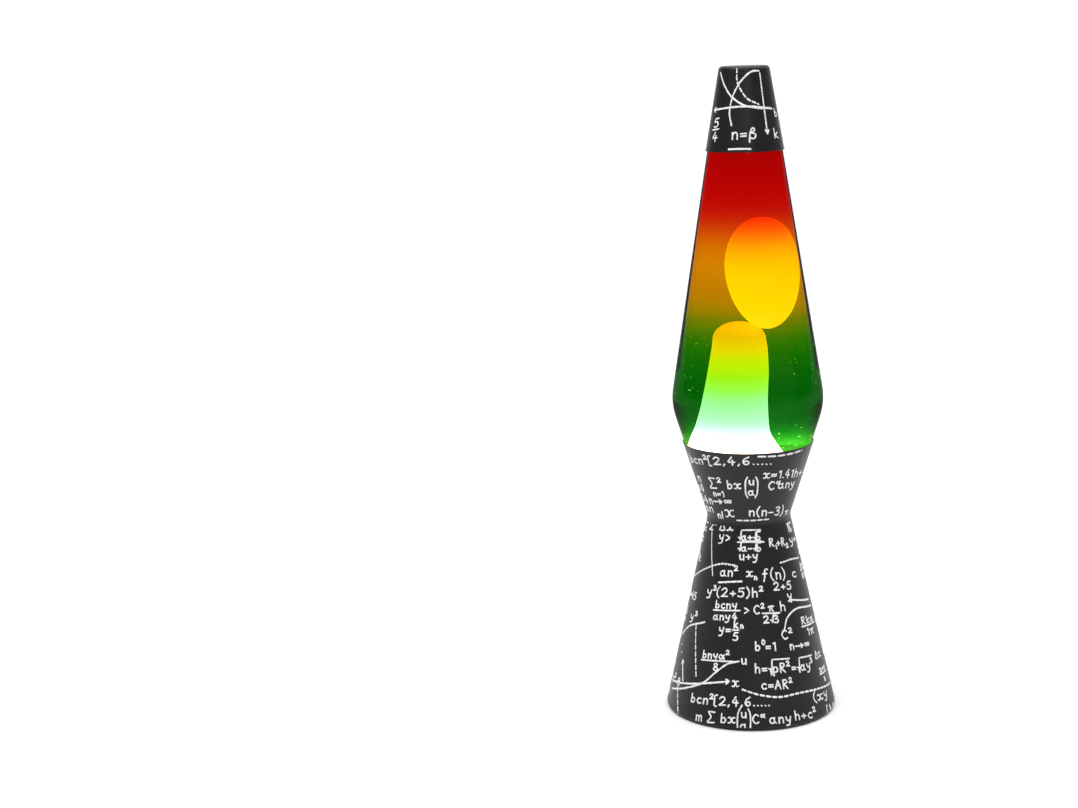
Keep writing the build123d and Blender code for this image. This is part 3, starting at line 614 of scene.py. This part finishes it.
# a curve cut into dashes of one length with equal gaps
def dashed(path, dash=2.4, gap=1.8):
    along = runLength(path)
    pieces = []
    for start in np.arange(0, along[-1], dash + gap):
        ticks = np.linspace(start, min(start + dash, along[-1]), 5)
        pieces.append(pointsAt(path, along, ticks))
    return pieces


# the print's own drawings are in millimetres from their lower left.
# Two axes with a curve, y = a + b t + c t^2.6
def axesWithCurve(wide=24.0, high=20.0):
    t = np.linspace(0, 1, 24)
    curve = np.stack([-3 + (wide - 2) * t, -3.2 + 2.0 * t + (high - 6) * t**2.6], -1)
    return (arrow((-3, 0), (wide, 0)) + arrow((4, -1), (4, high)) + [curve]
            + dashed(line((wide * 0.68, 0.8), (wide * 0.68, high * 0.6)))
            + moved(signs["x"], wide + 1.6, -1.6, 4.4) + moved(signs["y"], 6.0, high - 2.4, 4.4))


# a quarter of an ellipse that rises and levels off
def risingCurve(wide=17.0, high=17.0):
    return [oval(wide, 0, wide, high, 180, 96)] + moved(writeSum("n^2"), -1.6, -6.6, 4.6)


# a circle with its dashed diameter and a named radius
def circleWithRadius(size=8.0):
    return ([oval(0, 0, size, size, 20, 380), line((0, 0), (size * 0.7, size * 0.7))]
            + moved(signs["r"], 0.4, 3.4, 3.6) + dashed(line((-size, 0), (size, 0)), 1.6, 1.3))


# a triangle with its square corner marked and its sides named
def rightTriangle(wide=17.0, high=12.0):
    return ([line((0, 0), (wide, 0), (0, high), (0, 0)), line((0, 2), (2, 2), (2, 0))]
            + moved(signs["c"], wide * 0.52, high * 0.6, 4.4) + moved(signs["b"], -3.6, high * 0.3, 4.4)
            + moved(signs["a"], wide * 0.4, -4.2, 4.4))


# height * sin 2t over two turns, on an arrow
def waveOnAxis(wide=30.0, high=4.0):
    t = np.linspace(0, 1, 40)
    return arrow((-2, 0), (wide + 4, 0)) + [np.stack([wide * t, high * np.sin(4 * math.pi * t)], -1)]


# two squares joined at their corners, with the hidden edges dashed
def cube(size=9.0, shift=3.6):
    front = line((0, 0), (size, 0), (size, size), (0, size), (0, 0))
    back = line((0, size), (shift, size + shift), (size + shift, size + shift), (size + shift, shift), (size, 0))
    hidden = dashed(line((0, 0), (shift, shift), (shift, size + shift)), 1.2, 1.0)
    return [front, back, line((size, size), (size + shift, size + shift))] + hidden


# the printed shells' outlines: radius by height, as the metal has them
shells = {
    "base": roundedOutline([(53.4, 1.0), (25.6, 124.2), (40.44, 171.0)], [8.0], steps=16),
    "cap": roundedOutline([(23.75, 350.0), (23.3, 351.8), (15.0, 400.0), (2.0, 400.0)], [2.5, 2.4], steps=14),
}

chalk = {"width": 1.02, "lineWidth": 1.25, "lift": 0.09, "sink": 0.05, "step": 0.9, "dip": 0.115}


# a shell's radius at a height
def radiusAt(outline, height):
    return np.interp(height, outline[:, 1], outline[:, 0])


# a ribbon along a stroke: (rows, 4 points across, [sideways, up, lift]), its ends rounded by narrowing
def ribbon(path, width):
    keep = np.concatenate([[True], np.linalg.norm(np.diff(path, axis=0), axis=1) > 1e-6])
    path = path[keep]
    along = runLength(path)
    total, half = along[-1], width / 2
    inner = np.linspace(0, total, max(2, int(total / chalk["step"]) + 1))
    ticks = np.concatenate([[-half, -0.8 * half, -0.4 * half], inner,
                            [total + 0.4 * half, total + 0.8 * half, total + half]])
    centre = pointsAt(path, along, ticks)
    ahead = pointsAt(path, along, ticks + 0.2)
    behind = pointsAt(path, along, ticks - 0.2)
    tangent = ahead - behind
    tangent[:3], tangent[-3:] = tangent[3], tangent[-4]
    tangent /= np.linalg.norm(tangent, axis=1)[:, None] + 1e-9
    over = np.clip(-ticks, 0, None) + np.clip(ticks - total, 0, None)
    centre += tangent * np.where(ticks < 0, ticks, np.clip(ticks - total, 0, None))[:, None]
    pressure = 1 + 0.1 * np.sin(0.9 * ticks + 3 * path[0, 0])
    reach = half * np.sqrt(np.clip(1 - (over / half) ** 2, 0.02, 1)) * pressure
    across = np.stack([-tangent[:, 1], tangent[:, 0]], -1)
    offsets = np.array([1, 0.6, -0.6, -1])
    flat = centre[:, None] + across[:, None] * (reach[:, None] * offsets)[..., None]
    lift = np.array([-chalk["sink"], chalk["lift"], chalk["lift"], -chalk["sink"]])
    return np.concatenate([flat, np.broadcast_to(lift[None, :, None], (*flat.shape[:2], 1))], -1)


# the rows of the print run straight on its flat sheet, so they dip at the sides: dip * radius * sin^2(angle)
def sag(angle, level, outline):
    return chalk["dip"] * radiusAt(outline, level) * np.sin(angle) ** 2


# lays a ribbon on a shell: the angle is sideways / radius, and the lift is square to the wall
def onShell(strip, outline, azimuth, level):
    angle = math.radians(azimuth) + strip[..., 0] / radiusAt(outline, level)
    height = level + strip[..., 1] - sag(angle, level, outline)
    radius = radiusAt(outline, height)
    slope = radiusAt(outline, height + 0.5) - radiusAt(outline, height - 0.5)
    length = np.sqrt(1 + slope**2)
    radius, height = radius + strip[..., 2] / length, height - strip[..., 2] * slope / length
    return np.stack([radius * np.sin(angle), -radius * np.cos(angle), height], -1)


# adds each stroke of a drawing to the grids on the shell, cut off at the area's edges
def printOn(grids, strokes, outline, azimuth, level, width, low, high):
    for stroke in strokes:
        strip = ribbon(stroke, width)
        dip = sag(math.radians(azimuth) + strip[:, 1, 0] / radiusAt(outline, level), level, outline)
        rows = (level - dip + strip[:, :, 1].min(1) > low) & (level - dip + strip[:, :, 1].max(1) < high)
        cuts = np.flatnonzero(np.diff(rows.astype(int))) + 1
        for run in np.split(np.arange(len(rows)), cuts):
            if rows[run[0]] and len(run) > 2:
                grids.append(onShell(strip[run], outline, azimuth, level))


# one piece made of every stroke's grid
def printPiece(name, grids, body, finish):
    points, faces, first = [], [], 0
    for grid in grids:
        quads = gridQuads(len(grid), 4, False) + first
        points.append(grid.reshape(-1, 3))
        faces.append(quads)
        first += grid.shape[0] * 4
    piece = newPiece(name, np.vstack(points), np.vstack(faces).tolist(), finish)
    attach(piece, body)
    print(name, "strokes:", len(grids), "faces:", len(piece.data.polygons))


# short sums that fill the rows, and taller ones that stand over two rows
shortSums = [
    "x^2+y^2=r^2", "y=mx+c", "a^2+b^2=c^2", "2πr", "πr^2", "x_1+x_2", "n!", "3x-7=0", "f(x)=2x+1", "(a+b)^2",
    "x^3-8", "a_n=a_1+3n", "5*4", "A=πr^2", "α+β=90", "x>>0", "@{x^2+1}", "2^n", "k>0", "x≈1.41", "4:3=8:6",
    "[a,b]", "λ=2", "|x-3|<2", "y^2=4ax", "x=±2", "b^2-4ac", "θ=45", "n>>∞", "(x-1)(x+1)", "3.14159", "h=ut",
    "u+y", "Δx", "@{16}=4", "7+5=12", "(x,y)", "(2,5)", "n=1,2,3", "6^2=36", "C=2πr", "x_n", "p<9", "V=abc",
    "x^4-3x^2+2=0", "a_k b_k", "10^{-3}", "R_1+R_2", "1,1,2,3,5,8", "2n+1", "(n+1)!",
]
tallSums = [
    "/{x^2}{a^2}+/{y^2}{b^2}=1", "S/{1}{n^2}", "x=/{-b±@{b^2-4ac}}{2a}", "I/{1}{x}", "/{a+b}{2}", "#{n}{k}",
    "/{n(n+1)}{2}", "#{1 0}{0 1}", "/{Δy}{Δx}", "V=/{4}{3}πr^3", "/{3}{4}+/{1}{8}=/{7}{8}", "@{/{a}{b}}",
    "/{π}{2}", "S a_k x^k", "I x^n", "/{1}{2}ab", "#{2 3}{4 1}", "/{x-3}{x+2}", "/{x+y}{z}", "/{22}{7}",
    "I_a^b f(x)", "/{n!}{k!}",
]


# the print of one shell. A drawing is placed by its azimuth in degrees and its level in millimetres,
# and each keeps the room of its own box clear
class Board:
    def __init__(self, outline, low, high):
        self.outline, self.low, self.high = outline, low, high
        self.grids, self.taken = [], []

    def around(self, level):
        return radiusAt(self.outline, level)

    def keepClear(self, start, end, margin):
        (a, z), (b, y) = start, end
        self.taken.append((min(a, b) - margin, max(a, b) + margin, min(z, y) - margin, max(z, y) + margin))

    def room(self, strokes, azimuth, level, margin=1.5):
        lowest, highest = extent(strokes)
        perDegree = self.around(level + (lowest[1] + highest[1]) / 2) * math.pi / 180
        return (azimuth + (lowest[0] - margin) / perDegree, azimuth + (highest[0] + margin) / perDegree,
                level + lowest[1] - 0.8, level + highest[1] + 0.8)

    def free(self, box):
        left, right, bottom, top = box
        for l, r, b, t in self.taken:
            if bottom < t and top > b and any(left + s < r and right + s > l for s in (-360, 0, 360)):
                return False
        return True

    def draw(self, strokes, azimuth, level, width=None, keep=True):
        if keep:
            self.taken.append(self.room(strokes, azimuth, level))
        printOn(self.grids, strokes, self.outline, azimuth, level, width or chalk["width"], self.low, self.high)

    # tries seeded places for drawings and tall sums, then fills each row left to right with short ones
    def fillUp(self, drawings, tall, size, rows):
        for strokes in drawings:
            for attempt in range(60):
                azimuth, level = 360 * chance.random(), self.low - 4 + (self.high - self.low - 2) * chance.random()
                if self.free(self.room(strokes, azimuth, level, 2.0)):
                    self.draw(strokes, azimuth, level, chalk["lineWidth"])
                    break
        for attempt in range(tall):
            strokes = moved(writeSum(tallSums[chance.integers(len(tallSums))]), 0, 0,
                            size * (0.8 + 0.15 * chance.random()))
            azimuth, level = 360 * chance.random(), self.low + (self.high - self.low) * chance.random()
            if self.free(self.room(strokes, azimuth, level, 1.8)):
                self.draw(strokes, azimuth, level)
        for level in rows:
            azimuth, last = 360 * chance.random(), None
            stop = azimuth + 360
            while azimuth < stop:
                pick = chance.integers(len(shortSums))
                strokes = moved(writeSum(shortSums[pick]), 0, 0, size * (0.86 + 0.22 * chance.random()))
                lift = level + 1.2 * (chance.random() - 0.5)
                box = self.room(strokes, azimuth, lift, 1.2)
                if box[1] < stop + 4 and pick != last and self.free(box):
                    self.draw(strokes, azimuth, lift)
                    azimuth, last = box[1] + 1.5 + 3 * chance.random(), pick
                else:
                    azimuth += 1.5


# the three printed areas: below the waist, the upper cone and the cap
def makePrint():
    finish = makeChalk()
    lower = Board(shells["base"], 1.6, 122.0)
    frontOfBase(lower)
    lower.fillUp([axesWithCurve(), circleWithRadius(), rightTriangle(), waveOnAxis(), risingCurve(), cube(),
                  circleWithRadius(6), rightTriangle(12, 15), arrow((0, 0), (24, 0)), waveOnAxis(20, 3), cube(7, 3)],
                 420, 5.2, np.arange(4.0, 121, 8.9))
    printPiece("lowerPrint", lower.grids, "base", finish)
    upper = Board(shells["base"], 125.5, 170.2)
    frontOfRim(upper)
    upper.fillUp([arrow((0, 0), (20, 0)), rightTriangle(14, 10), waveOnAxis(18, 2.6), circleWithRadius(6)], 160, 5.0,
                 np.arange(127.5, 170, 8.9))
    printPiece("upperPrint", upper.grids, "base", finish)
    top = Board(shells["cap"], 351.2, 399.2)
    frontOfCap(top)
    top.fillUp([axesWithCurve(18, 15), rightTriangle(12, 9), circleWithRadius(6)], 160, 5.0,
               np.arange(353.0, 398, 8.2))
    printPiece("capPrint", top.grids, "cap", finish)


# sums placed one by one on the front: azimuth, level, size, text. Towards the sides the letters are drawn wider
def placeSums(board, sums):
    for azimuth, level, size, text in sums:
        strokes = moved(writeSum(text), 0, 0, size)
        wide = min(1.4, math.cos(math.radians(min(abs(azimuth + 8), 75))) ** -0.6)
        board.draw([stroke * (wide, 1) for stroke in strokes], azimuth,
                   level + sag(math.radians(azimuth), level, board.outline))


# a path through points given by azimuth and level, as x = radius * azimuth, smoothed where asked
def routed(board, points, smooth=True):
    reach = board.around(board.low)
    path = [(math.radians(a) * reach, z + sag(math.radians(a), z, board.outline) - board.low) for a, z in points]
    return curveThrough(path, 8) if smooth else np.array(path)


# a line through listed points, whose spans each keep their own box clear
def placeLine(board, points, dashes=False, smooth=True):
    path = routed(board, points, smooth)
    board.draw(dashed(path) if dashes else [path], 0, board.low, chalk["lineWidth"], keep=False)
    for (a, z), (b, y) in zip(points, points[1:]):
        board.keepClear((a, z), (b, y), 1)


# an arrow from a given start to end
def placeArrow(board, start, end):
    first, last = routed(board, [start, end], False)
    board.draw(arrow(first, last, 1.9), 0, board.low, chalk["lineWidth"], keep=False)
    board.keepClear(start, end, 2)


# the front below the waist
def frontOfBase(board):
    placeSums(board, [
        (-47, 12.4, 5.2, "bcn^2[2,4,6....."), (-40, 2.6, 5.4, "m S bx#{u}{a}C^α any"), (31, 4.9, 5.2, "h+c^2"),
        (50, 12.2, 5.4, "(xy"), (-41, 112.2, 5.4, "y>"), (-14, 111.0, 4.6, "/{@{a+@b}}{@{a-@b}}"),
        (-33, 91.5, 5.2, "an^2"), (-47, 78.2, 5.2, "y^3(2+5)h^2"), (14, 90.6, 6.0, "f(n)"),
        (25.5, 83.4, 4.8, "2+5"), (-36, 68.6, 4.9, "/{bcny}{any4}"), (-5, 70.4, 5.2, ">"),
        (3.6, 70.2, 5.2, "C^2"), (12, 68.4, 4.9, "/{π}{2@3}"), (30, 70.8, 5.4, "h"),
        (-28, 57.4, 5.2, "y=/{k}{5}^n"), (28, 53.8, 5.4, "C^2"), (-42, 37.4, 4.9, "/{bnyα^2}{8}"),
        (4, 48.4, 5.2, "b^0=1"), (3.5, 35.2, 5.4, "h=@{pR^2}=@{ay^3}"), (8, 25.4, 5.2, "c=AR^2"),
        (52, 56.0, 4.9, "/{Rkα}{1π}"), (-68, 59.6, 5.0, "y^3"), (-13.5, 26.6, 5.4, "x"), (-7, 40.2, 5.2, "u"),
        (-80, 95.6, 4.8, "z"), (40, 76.6, 4.6, "y"), (52, 88.4, 5.0, "c"), (60, 108.0, 5.0, "y=")])
    placeLine(board, [(-57, 119.6), (-43, 92)], smooth=False)
    placeLine(board, [(-34, 88.2), (-8, 89.6)], smooth=False)
    placeLine(board, [(-82.6, 47.9), (-66.3, 57.1), (-44.5, 62.8)])
    placeLine(board, [(78.7, 68.3), (51.2, 70.8), (36.6, 66.7), (31.2, 59)])
    placeLine(board, [(-76, 13.5), (-55.7, 19.3), (-38.2, 26), (-28.1, 33.6), (-18.2, 39.9), (-9.2, 41.9)])
    placeLine(board, [(-5.9, 25.2), (6.7, 22), (21.3, 19.9), (37.9, 20.3), (60, 18.6), (82, 16)], dashes=True)
    placeLine(board, [(-85.9, 86.4), (-58.1, 94.6), (-35.1, 99.4), (-16.2, 99.1)], dashes=True)
    placeLine(board, [(37.2, 99.9), (56, 101), (74.3, 100.1)], dashes=True)
    placeLine(board, [(-55.5, 59.2), (-45, 27.9)], dashes=True, smooth=False)
    placeLine(board, [(-68, 20.8), (-58.3, 1.3)], dashes=True, smooth=False)
    placeArrow(board, (-76, 18.6), (-16.4, 29.6))
    placeArrow(board, (-60.1, 22.9), (-66.5, 34.8))
    placeArrow(board, (75, 73), (42, 77))
    placeSums(board, [(-73, 37.4, 7.0, "."), (-77, 41.4, 7.0, ".")])


# the front of the upper cone
def frontOfRim(board):
    placeSums(board, [
        (-70, 160.3, 5.0, "bcn^2[2,4,6....."), (-66, 148.4, 5.0, "n"), (-46, 146.4, 5.6, "S^2"),
        (-43, 141.0, 3.6, "n=1"), (-22.7, 147.3, 5.4, "bx"), (-3, 147.0, 5.4, "#{u}{a}"),
        (21, 146.6, 5.4, "C^α"), (33, 146.6, 5.2, "any"), (53, 152.2, 5.2, "h+"), (-74, 128.2, 5.0, "an"),
        (-31, 127.8, 7.4, "x"), (0.6, 129.4, 5.6, "n(n-3)")])
    placeLine(board, [(9.2, 169.2), (26, 168.4), (44, 168.2), (62, 168.6)], dashes=True)
    placeLine(board, [(-24.5, 125.9), (2, 126.2), (30, 126.2)], dashes=True)


# the front of the cap: two curves crossing over a pair of arrows, with sums below
def frontOfCap(board):
    placeLine(board, [(-62, 397), (-45, 390), (-26, 383), (-2, 377.6), (24, 375.6), (52, 375.4)])
    placeLine(board, [(34, 397.4), (14, 396.6), (-8, 391), (-22, 383), (-27, 374), (-22, 366)])
    placeLine(board, [(-16, 399), (-14, 391), (4, 381.6), (26, 377.8)], dashes=True)
    placeArrow(board, (56, 375), (-66, 375))
    placeArrow(board, (36, 396), (38, 360.5))
    placeSums(board, [(-62, 360.6, 5.6, "/{5}{4}"), (-20, 357.6, 6.4, "n=β"), (52, 357.6, 5.4, "k"),
                      (62, 370, 4.4, "b")])
    placeLine(board, [(-24, 351.9), (8, 351.9)], smooth=False)
    board.keepClear((-80, 340), (80, 410), 0)


# chalky white ink, thin in places, that shows the black paint where it wore off
def makeChalk():
    finish, tree, shader = newFinish("chalkInk", Specular_IOR_Level=0.3)
    where = placed(tree)
    wear = noise(tree, where, 900, 4.0, 0.65)
    inks = [(0.28, (0.36, 0.36, 0.35)), (0.45, (0.82, 0.82, 0.8)), (0.7, (0.93, 0.93, 0.92))]
    tree.links.new(ramp(tree, wear, inks), shader.inputs["Base Color"])
    tree.links.new(ranged(tree, wear, 0.3, 0.7, 0.75, 0.55), shader.inputs["Roughness"])
    bump(tree, shader, noise(tree, where, 1600, 3.0, 0.6), 0.35, 0.0002)
    return finish


steelFinish = speckled("coilSteel", (0.42, 0.42, 0.43), (0.6, 0.6, 0.6), 500, (0.2, 0.34), 1500, 0.1, Metallic=1.0)


# turned metal: brightness and gloss vary in fine rings, as the lathe leaves them
def turnedMetal(name, dark, light, gloss=(0.22, 0.36), rings=5200):
    finish, tree, shader = newFinish(name, Metallic=1.0)
    fine = noise(tree, placed(tree, (0.12, 0.12, 1)), rings, 2.0)
    cloud = noise(tree, placed(tree), 90, 3.0)
    mottle(tree, cloud, dark, light, shader.inputs["Base Color"])
    tree.links.new(ranged(tree, fine, 0.3, 0.7, *gloss), shader.inputs["Roughness"])
    bump(tree, shader, fine, 0.08, 0.0001)
    return finish


# the bulb's glass: clear over the face, silvered inside below it
def bulbGlass():
    finish, tree, shader = newFinish("reflectorGlass", IOR=1.45)
    share = heightShare(tree, 108, 112)
    silvered = ranged(tree, share, 0, 1, 1, 0)
    cloud = noise(tree, placed(tree), 70, 2.0)
    mottle(tree, cloud, (0.86, 0.86, 0.85), (0.95, 0.95, 0.94), shader.inputs["Base Color"])
    tree.links.new(silvered, shader.inputs["Metallic"])
    tree.links.new(ranged(tree, share, 0, 1, 0.12, 0.02), shader.inputs["Roughness"])
    shader.inputs["Transmission Weight"].default_value = 0.85
    return finish


# the filament, which glows orange
def hotWire():
    finish, tree, shader = newFinish("hotFilament", Roughness=0.5, Emission_Strength=14.0)
    cloud = noise(tree, placed(tree), 900, 1.0)
    mottle(tree, cloud, (1.0, 0.42, 0.12), (1.0, 0.6, 0.25), shader.inputs["Emission Color"])
    mottle(tree, cloud, (0.5, 0.45, 0.4), (0.6, 0.55, 0.5), shader.inputs["Base Color"])
    return finish


# cloudy silicone that lets some light through
def clearSilicone():
    finish = speckled("clearSilicone", (0.62, 0.64, 0.62), (0.78, 0.79, 0.77), 120, (0.3, 0.42), 700, 0.1)
    shader = finish.node_tree.nodes["Principled BSDF"]
    shader.inputs["Transmission Weight"].default_value = 0.35
    return finish


# gives every part its finish: each finish is listed with the parts that have it
def finishNodes():
    # satin black paint: soft sheen, faint orange peel and a little unevenness in the gloss
    paint = speckled("satinBlack", (0.0075, 0.0075, 0.008), (0.012, 0.012, 0.0125), 28, (0.36, 0.46), 850, 0.12,
                     detail=4.0, rough=0.6, distance=0.00012, Specular_IOR_Level=0.32)
    zinc = speckled("zincPlate", (0.42, 0.43, 0.45), (0.58, 0.58, 0.6), 160, (0.3, 0.48), 900, 0.12, Metallic=1.0)
    bright = turnedMetal("brightSteel", (0.5, 0.5, 0.5), (0.66, 0.66, 0.66))
    brass = turnedMetal("brassParts", (0.62, 0.43, 0.16), (0.78, 0.57, 0.26), (0.2, 0.34))
    moulding = speckled("blackMoulding", (0.012, 0.011, 0.01), (0.03, 0.028, 0.026), 220, (0.3, 0.44), 1200, 0.12)
    plan = {
        paint: ["base_shell", "top_cap"],
        speckled("blackRubber", (0.012, 0.012, 0.012), (0.028, 0.028, 0.028), 200, (0.65, 0.85), 1500, 0.3):
            ["rubber_feet", "cord_grommet"],
        clearSilicone(): ["seat_ring"],
        zinc: ["bottom_plate", "plate_lugs", "holder_bracket"],
        bright: ["plate_screws", "bracket_rivets", "nipple_nut", "tooth_washer", "hollow_nipple", "terminal_screws",
                 "earth_screw", "clamp_screws"],
        moulding: ["holder_dome", "holder_skirt"],
        speckled("contactMoulding", (0.6, 0.58, 0.53), (0.72, 0.7, 0.65), 160, (0.35, 0.5), 900, 0.1):
            ["contact_block", "terminal_block"],
        brass: ["thread_shell", "centre_contact", "pole_tubes", "earth_tag", "tip_contact"],
        speckled("brownLead", (0.09, 0.035, 0.014), (0.14, 0.06, 0.024), 300, (0.3, 0.44), 1500, 0.1):
            ["live_lead"],
        speckled("blueLead", (0.01, 0.06, 0.3), (0.02, 0.1, 0.42), 300, (0.3, 0.44), 1500, 0.1):
            ["neutral_lead"],
        speckled("greenLead", (0.03, 0.26, 0.03), (0.5, 0.46, 0.03), 90, (0.3, 0.44), 1500, 0.1, (1, 1, 0.2)):
            ["earth_lead"],
        turnedMetal("bulbCapMetal", (0.6, 0.6, 0.6), (0.78, 0.78, 0.77), (0.18, 0.3)): ["bulb_cap"],
        speckled("blackGlass", (0.006, 0.006, 0.008), (0.016, 0.016, 0.02), 400, (0.08, 0.16), 1500, 0.05):
            ["cap_insulator"],
        bulbGlass(): ["bulb_glass"],
        speckled("stemGlass", (0.8, 0.82, 0.8), (0.92, 0.93, 0.92), 200, (0.03, 0.08), 900, 0.03,
                 Transmission_Weight=0.8):
            ["glass_stem"],
        speckled("leadInWire", (0.5, 0.48, 0.45), (0.66, 0.63, 0.6), 500, (0.25, 0.4), 1500, 0.08, Metallic=1.0):
            ["lead_in_wires"],
        hotWire(): ["filament"],
        turnedMetal("crownTinplate", (0.6, 0.58, 0.52), (0.76, 0.74, 0.68), (0.24, 0.4), 2600):
            ["crown_closure"],
        speckled("linerFoam", (0.74, 0.72, 0.66), (0.85, 0.83, 0.78), 500, (0.7, 0.9), 2200, 0.5):
            ["crown_liner", "cap_pad"],
    }
    for finish, names in plan.items():
        for name in names:
            nodes[name].data.materials.clear()
            nodes[name].data.materials.append(finish)
    left = [name for name, node in nodes.items() if not node.hide_render
            and not any(name in n for n in plan.values())]
    print("parts left without a finish:", left)


studio = {
    "floorSize": 14.0, "floorWhite": 0.86, "worldBack": 1.08, "worldFront": 0.12, "overhead": 2.05,
    "key": {"place": (-0.75, -0.65, 1.6), "size": (0.9, 0.9), "power": 8.0},
    "strip": {"place": (0.28, -1.5, 1.25), "size": (0.22, 1.1), "power": 3.2},
    "fill": {"place": (1.3, 0.5, 1.5), "size": (1.4, 1.4), "power": 5.0},
}


# a pale floor, a sky that is bright behind and overhead, and three soft lights
def makeStudio():
    size = studio["floorSize"]
    ticks = np.linspace(-size / 2, size / 2, 9) / mm
    x, y = np.meshgrid(ticks, ticks)
    finish, tree, shader = newFinish("paleFloor", Specular_IOR_Level=0.1)
    cloud = noise(tree, placed(tree), 2.0, 2.0)
    white = studio["floorWhite"]
    mottle(tree, cloud, (white,) * 3, (white + 0.02,) * 3, shader.inputs["Base Color"])
    tree.links.new(ranged(tree, cloud, 0.3, 0.7, 0.7, 0.8), shader.inputs["Roughness"])
    ground = np.stack([x, y, 0 * x], -1).reshape(-1, 3)
    floor = newPiece("floorPlane", ground, gridQuads(9, 9, False).tolist(), finish)
    world = bpy.data.worlds.new("studioWorld")
    world.use_nodes = True
    bpy.context.scene.world = world
    tree = world.node_tree
    split = tree.nodes.new("ShaderNodeSeparateXYZ")
    tree.links.new(tree.nodes.new("ShaderNodeTexCoord").outputs["Generated"], split.inputs["Vector"])
    backdrop = ranged(tree, split.outputs["Y"], 0.6, 0.88, studio["worldFront"], studio["worldBack"])
    softbox = ranged(tree, split.outputs["Z"], 0.62, 0.8, 0, studio["overhead"])
    level = addNode(tree, "ShaderNodeMath", operation="ADD")
    tree.links.new(backdrop, level.inputs[0])
    tree.links.new(softbox, level.inputs[1])
    tree.links.new(level.outputs["Value"], tree.nodes["Background"].inputs["Strength"])
    tree.nodes["Background"].inputs["Color"].default_value = (1, 1, 1, 1)
    for name in ("key", "strip", "fill"):
        light = bpy.data.lights.new(name, "AREA")
        light.shape = "RECTANGLE"
        light.size, light.size_y = studio[name]["size"]
        light.energy = studio[name]["power"]
        lamp = bpy.data.objects.new(name, light)
        lamp.location = studio[name]["place"]
        lamp.rotation_mode = "QUATERNION"
        lamp.rotation_quaternion = (Vector((0, 0, 0.15)) - lamp.location).to_track_quat("-Z", "Y")
        bpy.context.scene.collection.objects.link(lamp)


eye = {"place": (0, -1.1826, 0.4295), "aim": (0, 0, 0.2), "lens": 64.75, "aside": 6.14, "down": -0.227,
       "roll": -0.634}


# looks from the eye's place to its aim, then turned aside, tipped down and rolled
def makeCamera():
    camera = bpy.data.objects.new("eye", bpy.data.cameras.new("eye"))
    camera.data.lens = eye["lens"]
    camera.location = eye["place"]
    straight = (Vector(eye["aim"]) - camera.location).to_track_quat("-Z", "Y")
    down, aside, roll = (math.radians(eye[key]) for key in ("down", "aside", "roll"))
    for turn in ((0, aside, 0), (down, 0, 0), (0, 0, roll)):
        straight = straight @ Euler(turn).to_quaternion()
    camera.rotation_mode = "QUATERNION"
    camera.rotation_quaternion = straight
    bpy.context.scene.collection.objects.link(camera)
    bpy.context.scene.camera = camera
    bpy.context.scene.view_settings.view_transform = "Standard"


makeGlobe()
print("bottle done")
makeMound()
makeBlob()
makeCoil()
makeBubbles()
print("wax done")
makePrint()
finishNodes()
makeStudio()
makeCamera()
